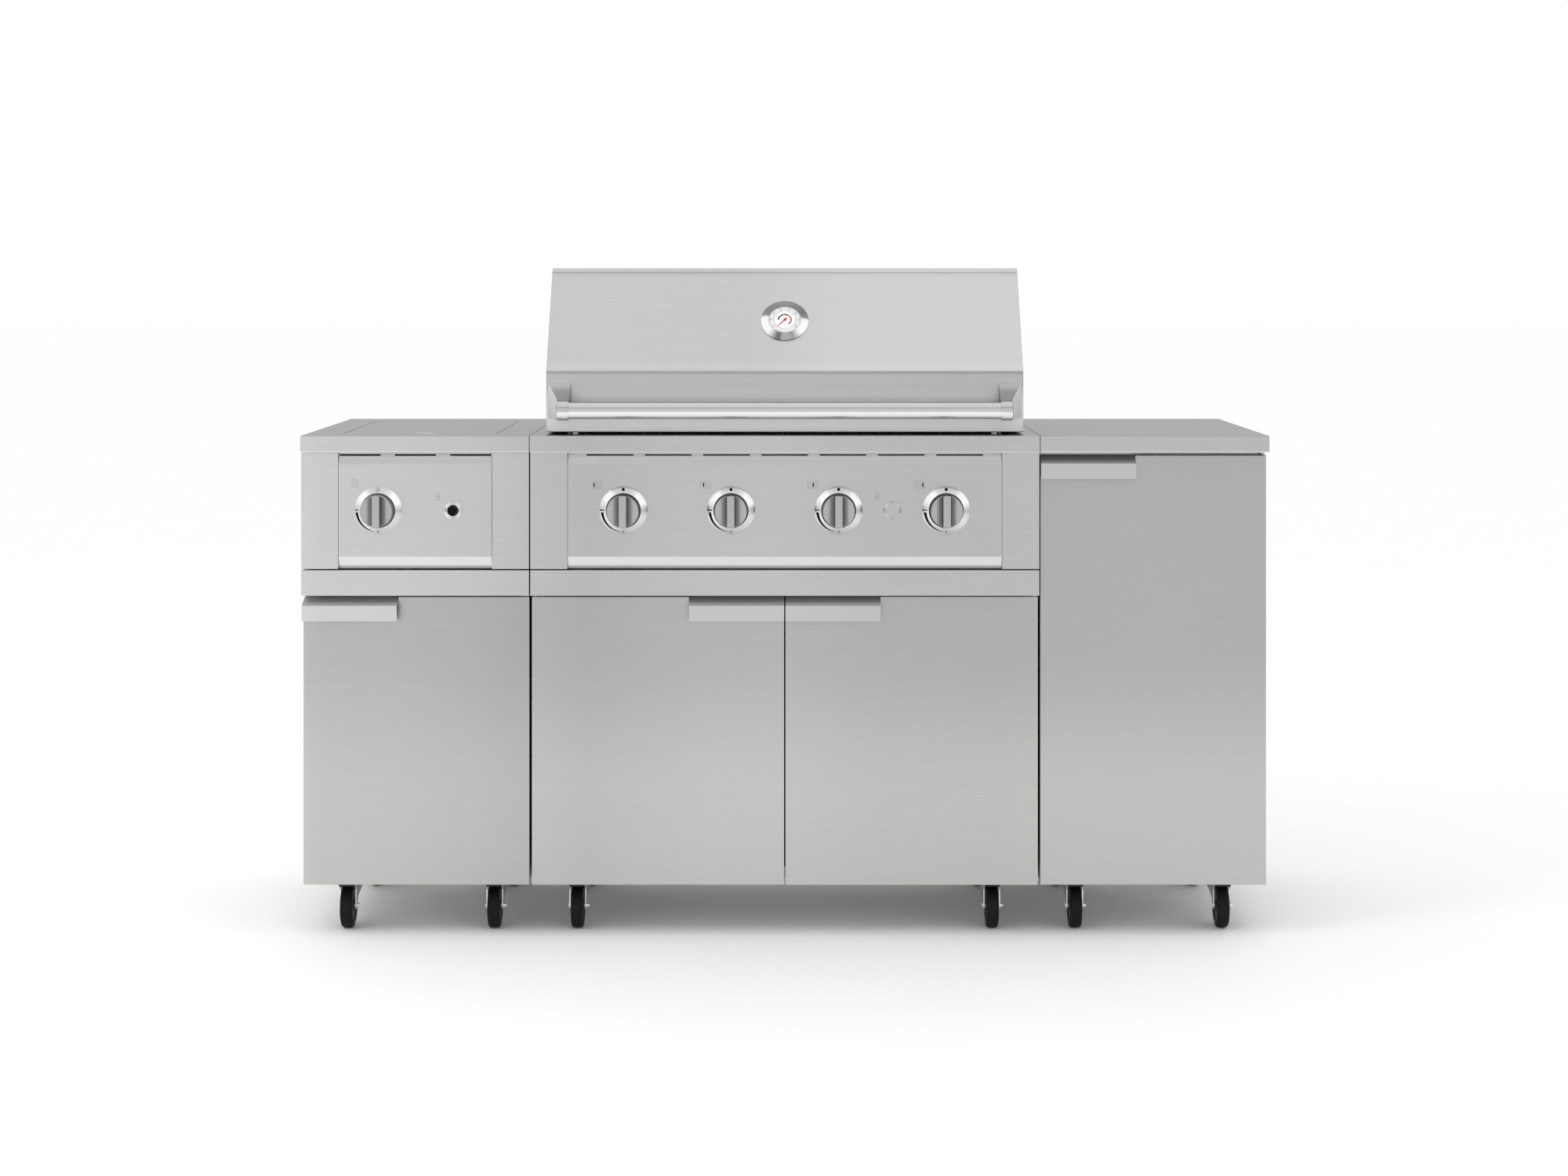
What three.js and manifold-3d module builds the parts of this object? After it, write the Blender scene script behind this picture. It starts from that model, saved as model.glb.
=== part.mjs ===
// Outdoor kitchen island in brushed stainless sheet: a side-burner module, a four-burner
// grill module and a tall storage cabinet, side by side on twelve swivel casters.
// Millimetres, X to the right, Y to the back, Z up. Inside the island group, Y starts at
// the front edge of the worktops, and the group is moved so that the origin lies on the
// floor under the middle of the whole object.

import * as THREE from 'three';
import { mergeVertices } from 'three/addons/utils/BufferGeometryUtils.js';
import { ConvexGeometry } from 'three/addons/geometries/ConvexGeometry.js';
import Module from 'manifold-3d';

const wasm = await Module();
wasm.setup();

// Sheet metal and clearances
const sheet = 1.5;
const seatGap = 0.3;
const overrun = 5;

// Worktops
const worktopHeight = 910;
const worktopLip = 10;
const worktopThickness = 30;
const worktopDepth = 600;
const sideWidth = 414;
const grillWidth = 922;

// Front line: stiles and rails stand behind the worktop's front edge, doors further back
const faceSetback = 6;
const doorSetback = 25.5;

// Cabinets
const casterHeight = 100;
const cabinetInset = 2;
const cabinetBackInset = 6;
const openingFlange = 22;
const railHeight = 46;
const shadowGap = 2.3;
const topFrame = 60;
const shelfHeight = 480;
const shelfSetback = 40;
const ventWidth = 90;
const ventHeight = 8;
const ventPitch = 26;
const ventRise = 140;
const ventRows = 2;
const ventColumnShares = [-0.5, 0.5];

// Housings between the lower cabinets and the worktops
const housingHeight = 211;
const housingInset = 1;
const stileWidth = 67;
const stileReturn = 20;
const housingFlange = 30;

// Control panels
const panelGap = 0.8;
const panelTopFacet = 20;
const panelTopRecess = 6.5;
const panelBottomFacet = 22.4;
const panelBottomRecess = 13;
const panelReturn = 15;
const slotHeight = 3;
const slotDrop = 3.3;
const grillSlotLength = 85;
const grillSlotPitch = 105.4;
const grillSlotCount = 7;
const sideSlotLength = 75;
const sideSlotPitch = 100;
const sideSlotCount = 3;

// Knobs, bezels and igniters
const knobRise = 106;
const burnerEndMargin = 72.2;
const burnerCount = 4;
const sideKnobOffset = 66.6;
const sideIgniterOffset = 68.7;
const bezelRadius = 43.5;
const bezelCrest = 32;
const bezelBore = 30;
const bezelRise = 7;
const knobRadius = 29;
const knobBase = 4;
const knobReach = 36;
const knobChamfer = 1.5;
const knobBar = 12.4;
const knobScoopDepth = 17;
const knobScoopRim = 5;
const knobScoopSteps = 3;
const knobShaftRadius = 4;
const knobShaftHole = 6;
const knobShaftReach = 25;
const igniterRing = 16;
const igniterRise = 3;
const igniterButton = 12.2;
const igniterRecess = 0.8;
const igniterDepth = 24;
const igniterClearance = 0.5;
const igniterTravel = 4;
const buttonChamfer = 1;
const sideIgniterRing = 16.8;
const sideIgniterRise = 5;
const sideIgniterButton = 8.4;
const sideIgniterReach = 20;

// Doors and their folded pulls
const doorThickness = 20;
const doorSeal = 1.5;
const doorDrop = 6;
const doorTopGap = 4;
const tallDoorTopGap = 6.3;
const doorPairGap = 2.4;
const doorFlange = 15;
const hingeInset = 6;
const hingeDepth = 5.5;
const hingePinRadius = 2.75;
const hingeClearance = 0.4;
const hingePlate = 3;
const hingePlateWidth = 11;
const hingeFootWidth = 6.8;
const hingePinReach = 7;
const hingeNotch = 22;
const hingeNotchGap = 1;
const hingeBlock = 14;
const pullLength = 172;
const pullSheet = 2;
const pullRoot = 17;
const pullReach = 21.5;
const pullDrop = 14;
const pullFlange = 28;
const pullBlock = 18;

// Casters
const wheelRadius = 40;
const wheelSides = 14;
const wheelWidth = 24;
const wheelTreadChamfer = 3;
const wheelRecess = 3;
const wheelBore = 4.5;
const casterTrail = 33;
const casterPlateSize = 62;
const casterPlate = 3;
const casterRace = 22;
const kingPinRadius = 5;
const kingPinClearance = 0.5;
const kingPinHead = 9;
const forkSheet = 2.2;
const forkClearance = 1.2;
const forkTop = 86;
const forkEar = 7;
const forkCorner = 5;
const forkRear = 20;
const forkSteps = 1;
const axleRadius = 4;
const axleNut = 6.5;
const axleHead = 2.5;
const frontCasterSetback = 137;
const rearCasterInset = 100;
const sideCasterInset = 72.1;
const grillCasterInset = 80.3;

// Grill box inside the grill housing
const grillSideInset = 36;
const grillFront = 55;
const grillBackInset = 40;
const fireFront = 60;
const fireBackInset = 95;
const fireDepth = 150;
const hopperDepth = 30;
const hopperMouthWidth = 520;
const hopperMouthDepth = 140;
const upstandHeight = 60;
const grateLedge = 20;
const grateTopDrop = 7;
const burnerRest = 30;
const burnerRestWidth = 24;
const rackLugWidth = 13;
const rackLugDepth = 16;
const rackLugHeight = 6;

// Gas rail, burners and the heat tents over them
const gasPipeRadius = 8;
const gasPipeSetback = 46;
const gasPipeOverhang = 45;
const valveRadius = 10;
const burnerNeck = 11;
const burnerHole = 13;
const burnerNeckLength = 34;
const burnerRadius = 16;
const burnerEndGap = 25;
const tentWidth = 110;
const tentHeight = 36;
const tentRise = 30;
const tentEndGap = 13;
const tentPost = 10;
const tentPostSheet = 3;
const tentPostInset = 40;

// Cooking grates and the warming rack
const grateGap = 2;
const grateSideGap = 15;
const grateEndGap = 5;
const grateBar = 6;
const grateRail = 10;
const grateHeight = 12;
const grateBarCount = 15;
const rackHeight = 150;
const rackDepth = 145;
const rackBackInset = 120;
const rackWire = 3;
const rackBarCount = 7;

// Grease tray on runners under the fire box
const traySideInset = 33;
const trayRim = 14;
const trayDepth = 20;
const trayFront = 120;
const trayPlateMargin = 6;
const trayLip = 3.5;
const trayRise = 8;
const runnerReach = 26;
const trayClearance = 4;

// Hood
const hoodSideInset = 27;
const hoodSetback = 38;
const hoodGap = 4.5;
const hoodFront = 109.3;
const hoodHeight = 298.5;
const hoodSlopeDepth = 142;
const hoodHem = 18;
const frontBend = 10;
const topBend = 20;
const backBend = 60;
const bendSteps = 4;
const pivotBackInset = 80;
const pivotRadius = 45;
const hoodTailRise = 20;
const pivotPinRadius = 4;
const pivotClearance = 0.4;
const pivotPinReach = 14;
const earThickness = 3;
const earWidth = 40;
const earInset = 0.5;
const bumperRadius = 5.7;
const bumperInset = 56;
const bumperSetback = 8;

// Hood handle: a tube between two swept brackets
const handleRise = 42.5;
const handleStandoff = 58;
const handleTube = 15;
const handleCollar = 17;
const handleCollarWidth = 21;
const bracketInset = 44.5;
const bracketWidth = 41;
const bracketBelow = 16;
const bracketAbove = 47;
const bracketTaper = 20;
const bracketRoot = 2;
const sweepShares = [[0.12, 0.42], [0.32, 0.74], [0.62, 0.93]];

// Thermometer on the slope of the hood
const gaugeRise = 115.3;
const gaugeRadius = 44;
const gaugeGlass = 30.5;
const gaugeBezel = 8;
const gaugeDish = 3;
const gaugeStemRadius = 4;
const gaugeStemHole = 5;
const gaugeStem = 50;
const gaugeNut = 9;

// Side burner: recess, lid, bowl, ring burner and pan support
const lidSideInset = 67;
const lidBackInset = 83;
const lidSetback = 73;
const lidHeight = 15;
const lidGap = 1.5;
const lidLedge = 14;
const lidFrontLedge = 46;
const lidBackGap = 2.5;
const lidHeelRise = 1.5;
const lidPinInset = 4;
const lidPinRadius = 2;
const lidPinReach = 4;
const lidPinClearance = 0.3;
const notchWidth = 50;
const notchDepth = 36;
const notchSteps = 8;
const bowlDepth = 52;
const bowlFlange = 8;
const bowlTaper = 18;
const ringBurnerRadius = 44;
const ringBurnerHeight = 22;
const ringBurnerHub = 16;
const ringBurnerFoot = 14;
const ringBurnerGroove = 6;
const sideTubeRadius = 6;
const sideTubeSides = 6;
const sideTubeSteps = 10;
const tubeRouteShares = [[0, 0, 0], [0.1, 0.2, 0], [0.65, 0.7, 0.3], [1, 0.95, 0.65], [1, 1, 1]];
const panSupportInset = 26;
const panSupportBar = 8;
const panSupportHeight = 10;
const panSupportRise = 9;
const panSupportFingers = 4;

// Sides on round pieces
const roundSides = 16;
const pinSides = 8;
const hexSides = 6;

// Heights and depths that follow from the sizes above
const worktopUnderside = worktopHeight - worktopThickness;
const housingTop = worktopUnderside - seatGap;
const housingBottom = worktopUnderside - housingHeight;
const lowerCabinetTop = housingBottom - shadowGap;
const railBottom = lowerCabinetTop - railHeight;
const doorBack = doorSetback + doorThickness;
const cabinetFront = doorBack + doorSeal;
const cabinetBack = worktopDepth - cabinetBackInset;
const doorBottom = casterHeight - doorDrop;
const hingeLine = doorSetback + hingeDepth;
const panelTop = housingTop - sheet - seatGap;
const panelBottom = housingBottom + seatGap;
const leftCentre = -(grillWidth + sideWidth) / 2 - seatGap;
const rightCentre = -leftCentre;
const knobHeight = housingBottom + knobRise;
const burnerPitch = (grillWidth - 2 * burnerEndMargin) / burnerCount;
const knobRow = [];
for (let i = 0; i < burnerCount; i += 1) {
  knobRow.push((i - (burnerCount - 1) / 2) * burnerPitch);
}
const grillIgniter = (knobRow[burnerCount - 2] + knobRow[burnerCount - 1]) / 2;
const valveFront = faceSetback + knobShaftReach + seatGap;
const rearCasterSetback = worktopDepth - rearCasterInset;
const sideCasterOffset = sideWidth / 2 - sideCasterInset;
const grillCasterOffset = grillWidth / 2 - grillCasterInset;
const grillHalf = grillWidth / 2 - grillSideInset;
const grillBack = worktopDepth - grillBackInset;
const fireBack = worktopDepth - fireBackInset;
const fireFloor = housingTop - fireDepth;
const grateTop = worktopHeight - grateTopDrop;
const grateBottom = grateTop - grateHeight;
const ledgeTop = grateBottom - seatGap;
const rackBack = worktopDepth - rackBackInset;
const rackFront = rackBack - rackDepth;
const trayHalf = grillWidth / 2 - traySideInset;
const trayBottom = housingBottom + trayRise;
const trayTop = trayBottom + trayDepth;
const hoodBottom = worktopHeight + hoodGap;
const hoodHalf = grillWidth / 2 - hoodSideInset;
const bumperOffset = hoodHalf - bumperInset;
const bracketInner = hoodHalf - bracketInset;
const pivotSetback = worktopDepth - pivotBackInset;
const hoodBack = pivotSetback + pivotRadius;
const pivotHeight = hoodBottom + pivotRadius;
const hoodSlopeAngle = Math.atan2(hoodSlopeDepth, hoodHeight - hoodFront);
const handleHeight = hoodBottom + handleRise;
const handleSetback = hoodSetback - handleStandoff;
const overallFront = handleSetback - handleCollar;
const gaugeSetback = hoodSetback + gaugeRise * Math.sin(hoodSlopeAngle);
const gaugeHeight = hoodBottom + hoodFront + gaugeRise * Math.cos(hoodSlopeAngle);
const lidWidth = sideWidth - 2 * lidSideInset;
const lidDepth = worktopDepth - lidSetback - lidBackInset;
const lidPinLine = lidSetback + lidDepth - lidPinInset;
const lidPinHeight = worktopHeight - lidPinInset;
const ledgeHeight = worktopHeight - lidHeight - seatGap;
const bowlTop = ledgeHeight - sheet - seatGap;
const bowlFront = lidSetback + lidFrontLedge;
const bowlBack = lidSetback + lidDepth - lidLedge;
const bowlHalf = lidWidth / 2 - lidLedge;
const bowlMiddle = (bowlFront + bowlBack) / 2;

// Geometry helpers: every piece is worked out as a closed solid

function solidFrom(geometry) {
  const bare = geometry.clone();
  bare.deleteAttribute('normal');
  bare.deleteAttribute('uv');
  const merged = mergeVertices(bare, 1e-4);
  const corners = merged.index.array;
  const kept = [];
  for (let i = 0; i < corners.length; i += 3) {
    const [a, b, c] = corners.slice(i, i + 3);
    if (a !== b && b !== c && c !== a) kept.push(a, b, c);
  }
  return new wasm.Manifold(new wasm.Mesh({
    numProp: 3,
    vertProperties: merged.attributes.position.array,
    triVerts: Uint32Array.from(kept),
  }));
}

function geometryFrom(solid) {
  const mesh = solid.getMesh();
  const geometry = new THREE.BufferGeometry();
  geometry.setAttribute('position', new THREE.BufferAttribute(mesh.vertProperties, 3));
  geometry.setIndex(new THREE.BufferAttribute(mesh.triVerts, 1));
  geometry.computeVertexNormals();
  return geometry;
}

function box(x0, x1, y0, y1, z0, z1) {
  const geometry = new THREE.BoxGeometry(x1 - x0, y1 - y0, z1 - z0);
  geometry.translate((x0 + x1) / 2, (y0 + y1) / 2, (z0 + z1) / 2);
  return solidFrom(geometry);
}

function extruded(outline, length, basis, shift) {
  const shape = new THREE.Shape(outline.map(([a, b]) => new THREE.Vector2(a, b)));
  const geometry = new THREE.ExtrudeGeometry(shape, { depth: length, bevelEnabled: false });
  geometry.applyMatrix4(new THREE.Matrix4().makeBasis(...basis));
  geometry.translate(shift.x, shift.y, shift.z);
  return solidFrom(geometry);
}

const unitX = new THREE.Vector3(1, 0, 0);
const unitY = new THREE.Vector3(0, 1, 0);
const unitZ = new THREE.Vector3(0, 0, 1);

// An outline of [y, z] points carried along X, of [x, z] along Y, or of [x, y] along Z
function alongX(outline, x0, x1) {
  return extruded(outline, x1 - x0, [unitY, unitZ, unitX], new THREE.Vector3(x0, 0, 0));
}

function alongY(outline, y0, y1) {
  const backwards = unitY.clone().negate();
  return extruded(outline, y1 - y0, [unitX, unitZ, backwards], new THREE.Vector3(0, y1, 0));
}

function alongZ(outline, z0, z1) {
  return extruded(outline, z1 - z0, [unitX, unitY, unitZ], new THREE.Vector3(0, 0, z0));
}

// A closed profile of [radius, height] points turned about Z
function turned(profile, sides) {
  const points = profile.map(([r, h]) => new THREE.Vector2(r, h));
  if (THREE.ShapeUtils.area(points) < 0) points.reverse();
  points.push(points[0].clone());
  const geometry = new THREE.LatheGeometry(points, sides);
  geometry.rotateX(Math.PI / 2);
  return solidFrom(geometry);
}

function disc(radius, z0, z1, sides = roundSides) {
  return turned([[0, z0], [radius, z0], [radius, z1], [0, z1]], sides);
}

// A solid turned by Euler angles and moved to a place. Facing the front, what pointed up
// points to -Y, and along the axle it points to +X.
function placed(solid, x, y, z, turn = new THREE.Euler()) {
  const matrix = new THREE.Matrix4().makeRotationFromEuler(turn).setPosition(x, y, z);
  return solidFrom(geometryFrom(solid).applyMatrix4(matrix));
}

function facingFront(solid, x, y, z) {
  return placed(solid, x, y, z, new THREE.Euler(Math.PI / 2, 0, 0));
}

function alongAxle(solid, x, y, z) {
  return placed(solid, x, y, z, new THREE.Euler(0, Math.PI / 2, 0));
}

function join(solids) {
  return solids.reduce((sum, solid) => sum.add(solid));
}

function cut(solid, tools) {
  return tools.reduce((rest, tool) => rest.subtract(tool), solid);
}

function mirrored(make) {
  return [-1, 1].map((side) => make(side));
}

function span(a, b) {
  return [Math.min(a, b), Math.max(a, b)];
}

// A box given by one side's x range, on either side of the middle
function sideBox(side, x0, x1, y0, y1, z0, z1) {
  return side > 0 ? box(x0, x1, y0, y1, z0, z1) : box(-x1, -x0, y0, y1, z0, z1);
}

// Corner points with radii turned into an outline with arcs
function rounded(corners, steps) {
  const outline = [];
  corners.forEach(([a, b, radius = 0], i) => {
    const before = corners[(i + corners.length - 1) % corners.length];
    const after = corners[(i + 1) % corners.length];
    const corner = new THREE.Vector2(a, b);
    const toBefore = new THREE.Vector2(before[0] - a, before[1] - b).normalize();
    const toAfter = new THREE.Vector2(after[0] - a, after[1] - b).normalize();
    if (!radius) {
      outline.push([a, b]);
      return;
    }
    const half = Math.acos(toBefore.dot(toAfter)) / 2;
    const middle = toBefore.clone().add(toAfter).normalize();
    const centre = corner.clone().addScaledVector(middle, radius / Math.sin(half));
    const from = corner.clone().addScaledVector(toBefore, radius / Math.tan(half)).sub(centre);
    const turn = Math.sign(from.cross(middle.clone().negate())) * (Math.PI - 2 * half);
    for (let k = 0; k <= steps; k += 1) {
      const spoke = from.clone().rotateAround(new THREE.Vector2(), (turn * k) / steps);
      outline.push([centre.x + spoke.x, centre.y + spoke.y]);
    }
  });
  return outline;
}

// The outline of a sheet folded along a line of points, its thickness laid on the left
function folded(line, thickness) {
  const points = line.map(([a, b]) => new THREE.Vector2(a, b));
  const left = points.map((point, i) => {
    const into = points[Math.max(i, 1)].clone().sub(points[Math.max(i, 1) - 1]).normalize();
    const last = points.length - 2;
    const out = points[Math.min(i, last) + 1].clone().sub(points[Math.min(i, last)]).normalize();
    const a = new THREE.Vector2(-into.y, into.x);
    const b = new THREE.Vector2(-out.y, out.x);
    const mitre = a.clone().add(b).normalize();
    return point.clone().addScaledVector(mitre, thickness / mitre.dot(a));
  });
  return [...points, ...left.reverse()].map((point) => [point.x, point.y]);
}

function finish(color, roughness, metalness) {
  return new THREE.MeshStandardMaterial({ color, roughness, metalness });
}

const finishes = {
  brushed: () => finish(0xbcbcba, 0.38, 0.95),
  polished: () => finish(0xd8d8d8, 0.16, 1),
  inner: () => finish(0x9a9a98, 0.5, 0.9),
  zinc: () => finish(0xc4c6c8, 0.3, 0.9),
  rubber: () => finish(0x141414, 0.75, 0),
  black: () => finish(0x0c0c0c, 0.45, 0),
  dial: () => finish(0xececec, 0.3, 0.4),
};

function piece(group, name, solid, look) {
  const mesh = new THREE.Mesh(geometryFrom(solid), finishes[look]());
  mesh.name = name;
  group.add(mesh);
  return mesh;
}

function groupAt(parent, x, y, z) {
  const group = new THREE.Group();
  group.position.set(x, y, z);
  parent.add(group);
  return group;
}

// A row of vent slots through the back of a cabinet or housing
function ventSlots(half, z) {
  return ventColumnShares.map((share) => box(share * half - ventWidth / 2,
    share * half + ventWidth / 2, cabinetBack - 2 * sheet, cabinetBack + overrun, z, z + ventHeight));
}

// Cabinets: a folded box open at the front, with return flanges round the opening, caster
// plates under the floor and hinge plates for the doors. Hinges are given as x places.

function casterPlates(offset) {
  const plates = [];
  const weld = casterHeight + sheet / 2;
  for (const x of [-offset, offset]) {
    for (const y of [frontCasterSetback, rearCasterSetback]) {
      const half = casterPlateSize / 2;
      plates.push(box(x - half, x + half, y - half, y + half, casterHeight - casterPlate, weld));
      const pin = join([
        disc(kingPinRadius, forkTop - forkSheet - seatGap, weld, hexSides),
        disc(kingPinHead, forkTop - 2 * forkSheet - seatGap, forkTop - forkSheet - seatGap, hexSides),
      ]);
      plates.push(placed(pin, x, y, 0));
    }
  }
  return plates;
}

// The tall cabinet's upper hinge plate has a hole for the door's pin; the lower plates of
// all cabinets carry the pin themselves and enter a notch at the door's back
function hingeEye(x, z) {
  const half = hingePlateWidth / 2;
  const top = z + hingePlate;
  const tongue = box(x - half, x + half, hingeLine, cabinetFront + openingFlange, z, top);
  const nose = placed(disc(half, z, top, pinSides), x, hingeLine, 0);
  const hole = disc(hingePinRadius + hingeClearance, z - overrun, top + overrun, pinSides);
  return tongue.add(nose).subtract(placed(hole, x, hingeLine, 0));
}

function hingeFoot(x) {
  const half = hingeFootWidth / 2;
  const top = casterHeight + hingePlate;
  const tongue = box(x - half, x + half, hingeLine, cabinetFront + openingFlange, casterHeight, top);
  const nose = disc(half, casterHeight, top, pinSides);
  const pin = disc(hingePinRadius, casterHeight, top + hingePinReach, pinSides);
  return tongue.add(placed(nose.add(pin), x, hingeLine, 0));
}

function cabinet({ width, top, railed, casterOffset, hinges, shelf }) {
  const half = width / 2 - cabinetInset;
  const inner = half - sheet;
  const floor = casterHeight + sheet;
  const openingTop = railed ? railBottom + sheet : top - openingFlange;
  const openingHalf = half - openingFlange;
  const shell = cut(box(-half, half, cabinetFront, cabinetBack, casterHeight, top), [
    box(-inner, inner, cabinetFront + sheet, cabinetBack - sheet, floor, top - sheet),
    box(-openingHalf, openingHalf, cabinetFront - overrun, cabinetFront + 2 * sheet,
      floor + openingFlange, openingTop),
    box(-half + topFrame, half - topFrame, cabinetFront + topFrame, cabinetBack - topFrame,
      top - 2 * sheet, top + overrun),
  ]);
  const added = [...casterPlates(casterOffset)];
  if (railed) {
    const railHalf = width / 2 - housingInset;
    const section = folded([
      [cabinetFront + sheet, railBottom], [faceSetback, railBottom],
      [faceSetback, top], [cabinetFront + sheet, top],
    ], -sheet);
    added.push(alongX(section, -railHalf, railHalf));
    for (const end of [-1, 1]) {
      added.push(sideBox(end, railHalf - sheet, railHalf, faceSetback, cabinetFront + sheet,
        railBottom, top));
    }
  } else {
    added.push(...hinges.map((x) => hingeEye(x, top - hingePlate)));
  }
  added.push(...hinges.map(hingeFoot));
  if (shelf) {
    added.push(alongX(folded([
      [cabinetFront + shelfSetback, shelfHeight - openingFlange],
      [cabinetFront + shelfSetback, shelfHeight], [cabinetBack - sheet, shelfHeight],
    ], -sheet), -inner, inner));
  }
  const vents = [];
  for (let row = 0; row < ventRows; row += 1) {
    vents.push(...ventSlots(half, casterHeight + ventRise + row * ventPitch));
  }
  if (railed) {
    for (const x of hinges) {
      const hole = disc(hingePinRadius + hingeClearance, railBottom - overrun,
        railBottom + 2 * sheet, pinSides);
      vents.push(placed(hole, x, hingeLine, 0));
    }
  }
  return cut(join([shell, ...added]), vents);
}

// Housings: the stiles, outer panels and flanges that stand on a lower cabinet and carry
// the control panel. The base ring behind the shadow gap sits on the cabinet.

function housingShell(width) {
  const half = width / 2 - housingInset;
  const stileEdge = half - stileWidth;
  const floorFront = faceSetback + panelBottomRecess + panelReturn + 2 * panelGap;
  const shell = cut(box(-half, half, faceSetback, cabinetBack, housingBottom, housingTop), [
    box(-half + sheet, half - sheet, faceSetback + sheet, cabinetBack - sheet,
      housingBottom + sheet, housingTop - sheet),
    box(-stileEdge, stileEdge, faceSetback - overrun, faceSetback + 2 * sheet,
      housingBottom - overrun, housingTop + overrun),
    box(-stileEdge, stileEdge, faceSetback - overrun, floorFront,
      housingBottom - overrun, housingBottom + 2 * sheet),
    box(-half + housingFlange, half - housingFlange, floorFront + housingFlange,
      cabinetBack - housingFlange, housingBottom - overrun, housingBottom + 2 * sheet),
  ]);
  const baseHalf = half - housingFlange / 2;
  const baseBottom = lowerCabinetTop + seatGap;
  const base = cut(box(-baseHalf, baseHalf, floorFront + sheet, cabinetBack - housingFlange / 2,
    baseBottom, housingBottom + sheet), [
    box(-half + housingFlange, half - housingFlange, floorFront + housingFlange,
      cabinetBack - housingFlange, baseBottom - overrun, housingBottom + 2 * sheet),
  ]);
  const returns = mirrored((side) => sideBox(side, stileEdge, stileEdge + sheet, faceSetback,
    faceSetback + stileReturn, housingBottom, housingTop));
  return cut(join([shell, base, ...returns]), ventSlots(half, (housingTop + trayTop) / 2));
}

function sideHousing() {
  const well = box(-lidWidth / 2, lidWidth / 2, lidSetback, lidSetback + lidDepth,
    housingTop - 2 * sheet, housingTop + overrun);
  return housingShell(sideWidth).subtract(well);
}

function frustum(halfTop, frontTop, backTop, top, halfBase, frontBase, backBase, base) {
  const points = [];
  for (const side of [-1, 1]) {
    points.push(new THREE.Vector3(side * halfTop, frontTop, top));
    points.push(new THREE.Vector3(side * halfTop, backTop, top));
    points.push(new THREE.Vector3(side * halfBase, frontBase, base));
    points.push(new THREE.Vector3(side * halfBase, backBase, base));
  }
  return solidFrom(new ConvexGeometry(points));
}

// The fire box of the grill: walls down to a hopper over the grease tray, ledges for the
// grates, an upstand behind them, and ears that carry the hood's pivot pins
function fireBox() {
  const wall = sheet;
  const middle = (fireFront + fireBack) / 2;
  const mouthHalf = hopperMouthWidth / 2;
  const mouthFront = middle - hopperMouthDepth / 2;
  const mouthBack = middle + hopperMouthDepth / 2;
  const outer = join([
    box(-grillHalf, grillHalf, fireFront, fireBack, fireFloor, ledgeTop),
    box(-grillHalf, grillHalf, fireBack - wall, fireBack, fireFloor, worktopHeight + upstandHeight),
    frustum(grillHalf, fireFront, fireBack, fireFloor,
      mouthHalf + wall, mouthFront - wall, mouthBack + wall, fireFloor - hopperDepth),
  ]);
  const inner = join([
    box(-grillHalf + wall, grillHalf - wall, fireFront + wall, fireBack - wall,
      fireFloor + wall, worktopHeight + upstandHeight + overrun),
    frustum(grillHalf - wall, fireFront + wall, fireBack - wall, fireFloor + wall,
      mouthHalf, mouthFront, mouthBack, fireFloor - hopperDepth + wall),
    box(-mouthHalf, mouthHalf, mouthFront, mouthBack, fireFloor - hopperDepth - overrun, fireFloor),
  ]);
  return { outer, inner };
}

function burnerSeats() {
  const top = knobHeight - burnerRadius - seatGap;
  return knobRow.map((x) => box(x - burnerRestWidth / 2, x + burnerRestWidth / 2,
    fireBack - burnerRest, fireBack, top - sheet, top));
}

function hoodEar(side) {
  const outer = grillHalf - earInset;
  const half = earWidth / 2;
  const plate = sideBox(side, outer - earThickness, outer, pivotSetback - half,
    pivotSetback + half, housingTop - 2 * sheet, pivotHeight);
  const place = [side * (outer - earThickness / 2), pivotSetback, pivotHeight];
  const round = alongAxle(disc(half, -earThickness / 2, earThickness / 2, pinSides), ...place);
  const bore = disc(pivotPinRadius + pivotClearance, -overrun, overrun, pinSides);
  return plate.add(round).subtract(alongAxle(bore, ...place));
}

function grillHousing() {
  const { outer, inner } = fireBox();
  const half = grillWidth / 2 - housingInset;
  const wall = grillHalf - sheet;
  const ledges = [
    box(-wall, wall, fireFront, fireFront + grateLedge, ledgeTop - sheet, ledgeTop),
    box(-wall, wall, fireBack - grateLedge, fireBack, ledgeTop - sheet, ledgeTop),
  ];
  const lugs = mirrored((side) => [rackFront, rackBack].map((y) => sideBox(side,
    wall - rackLugWidth, wall + sheet / 2, y - rackLugDepth / 2, y + rackLugDepth / 2,
    ledgeTop - rackLugHeight, ledgeTop))).flat();
  const rimBottom = trayTop - sheet;
  const runners = mirrored((side) => sideBox(side, half - sheet - runnerReach, half - sheet / 2,
    trayFront, cabinetBack - sheet, rimBottom - seatGap - sheet, rimBottom - seatGap));
  const trayDoor = box(-trayHalf - trayRim - trayClearance, trayHalf + trayRim + trayClearance,
    cabinetBack - 2 * sheet, cabinetBack + overrun, trayBottom - trayClearance,
    trayTop + trayClearance);
  const burnerHoles = knobRow.map((x) => facingFront(disc(burnerHole, -overrun, overrun, pinSides),
    x, fireFront, knobHeight));
  const hollow = cut(housingShell(grillWidth).add(outer), [inner, trayDoor, ...burnerHoles]);
  return join([hollow, ...ledges, ...lugs, ...runners, ...burnerSeats(), ...mirrored(hoodEar)]);
}

// Control panels: one folded sheet with a bright facet along the bottom, a vent row in the
// top facet, and pressed bezels round the knobs and igniters

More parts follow.
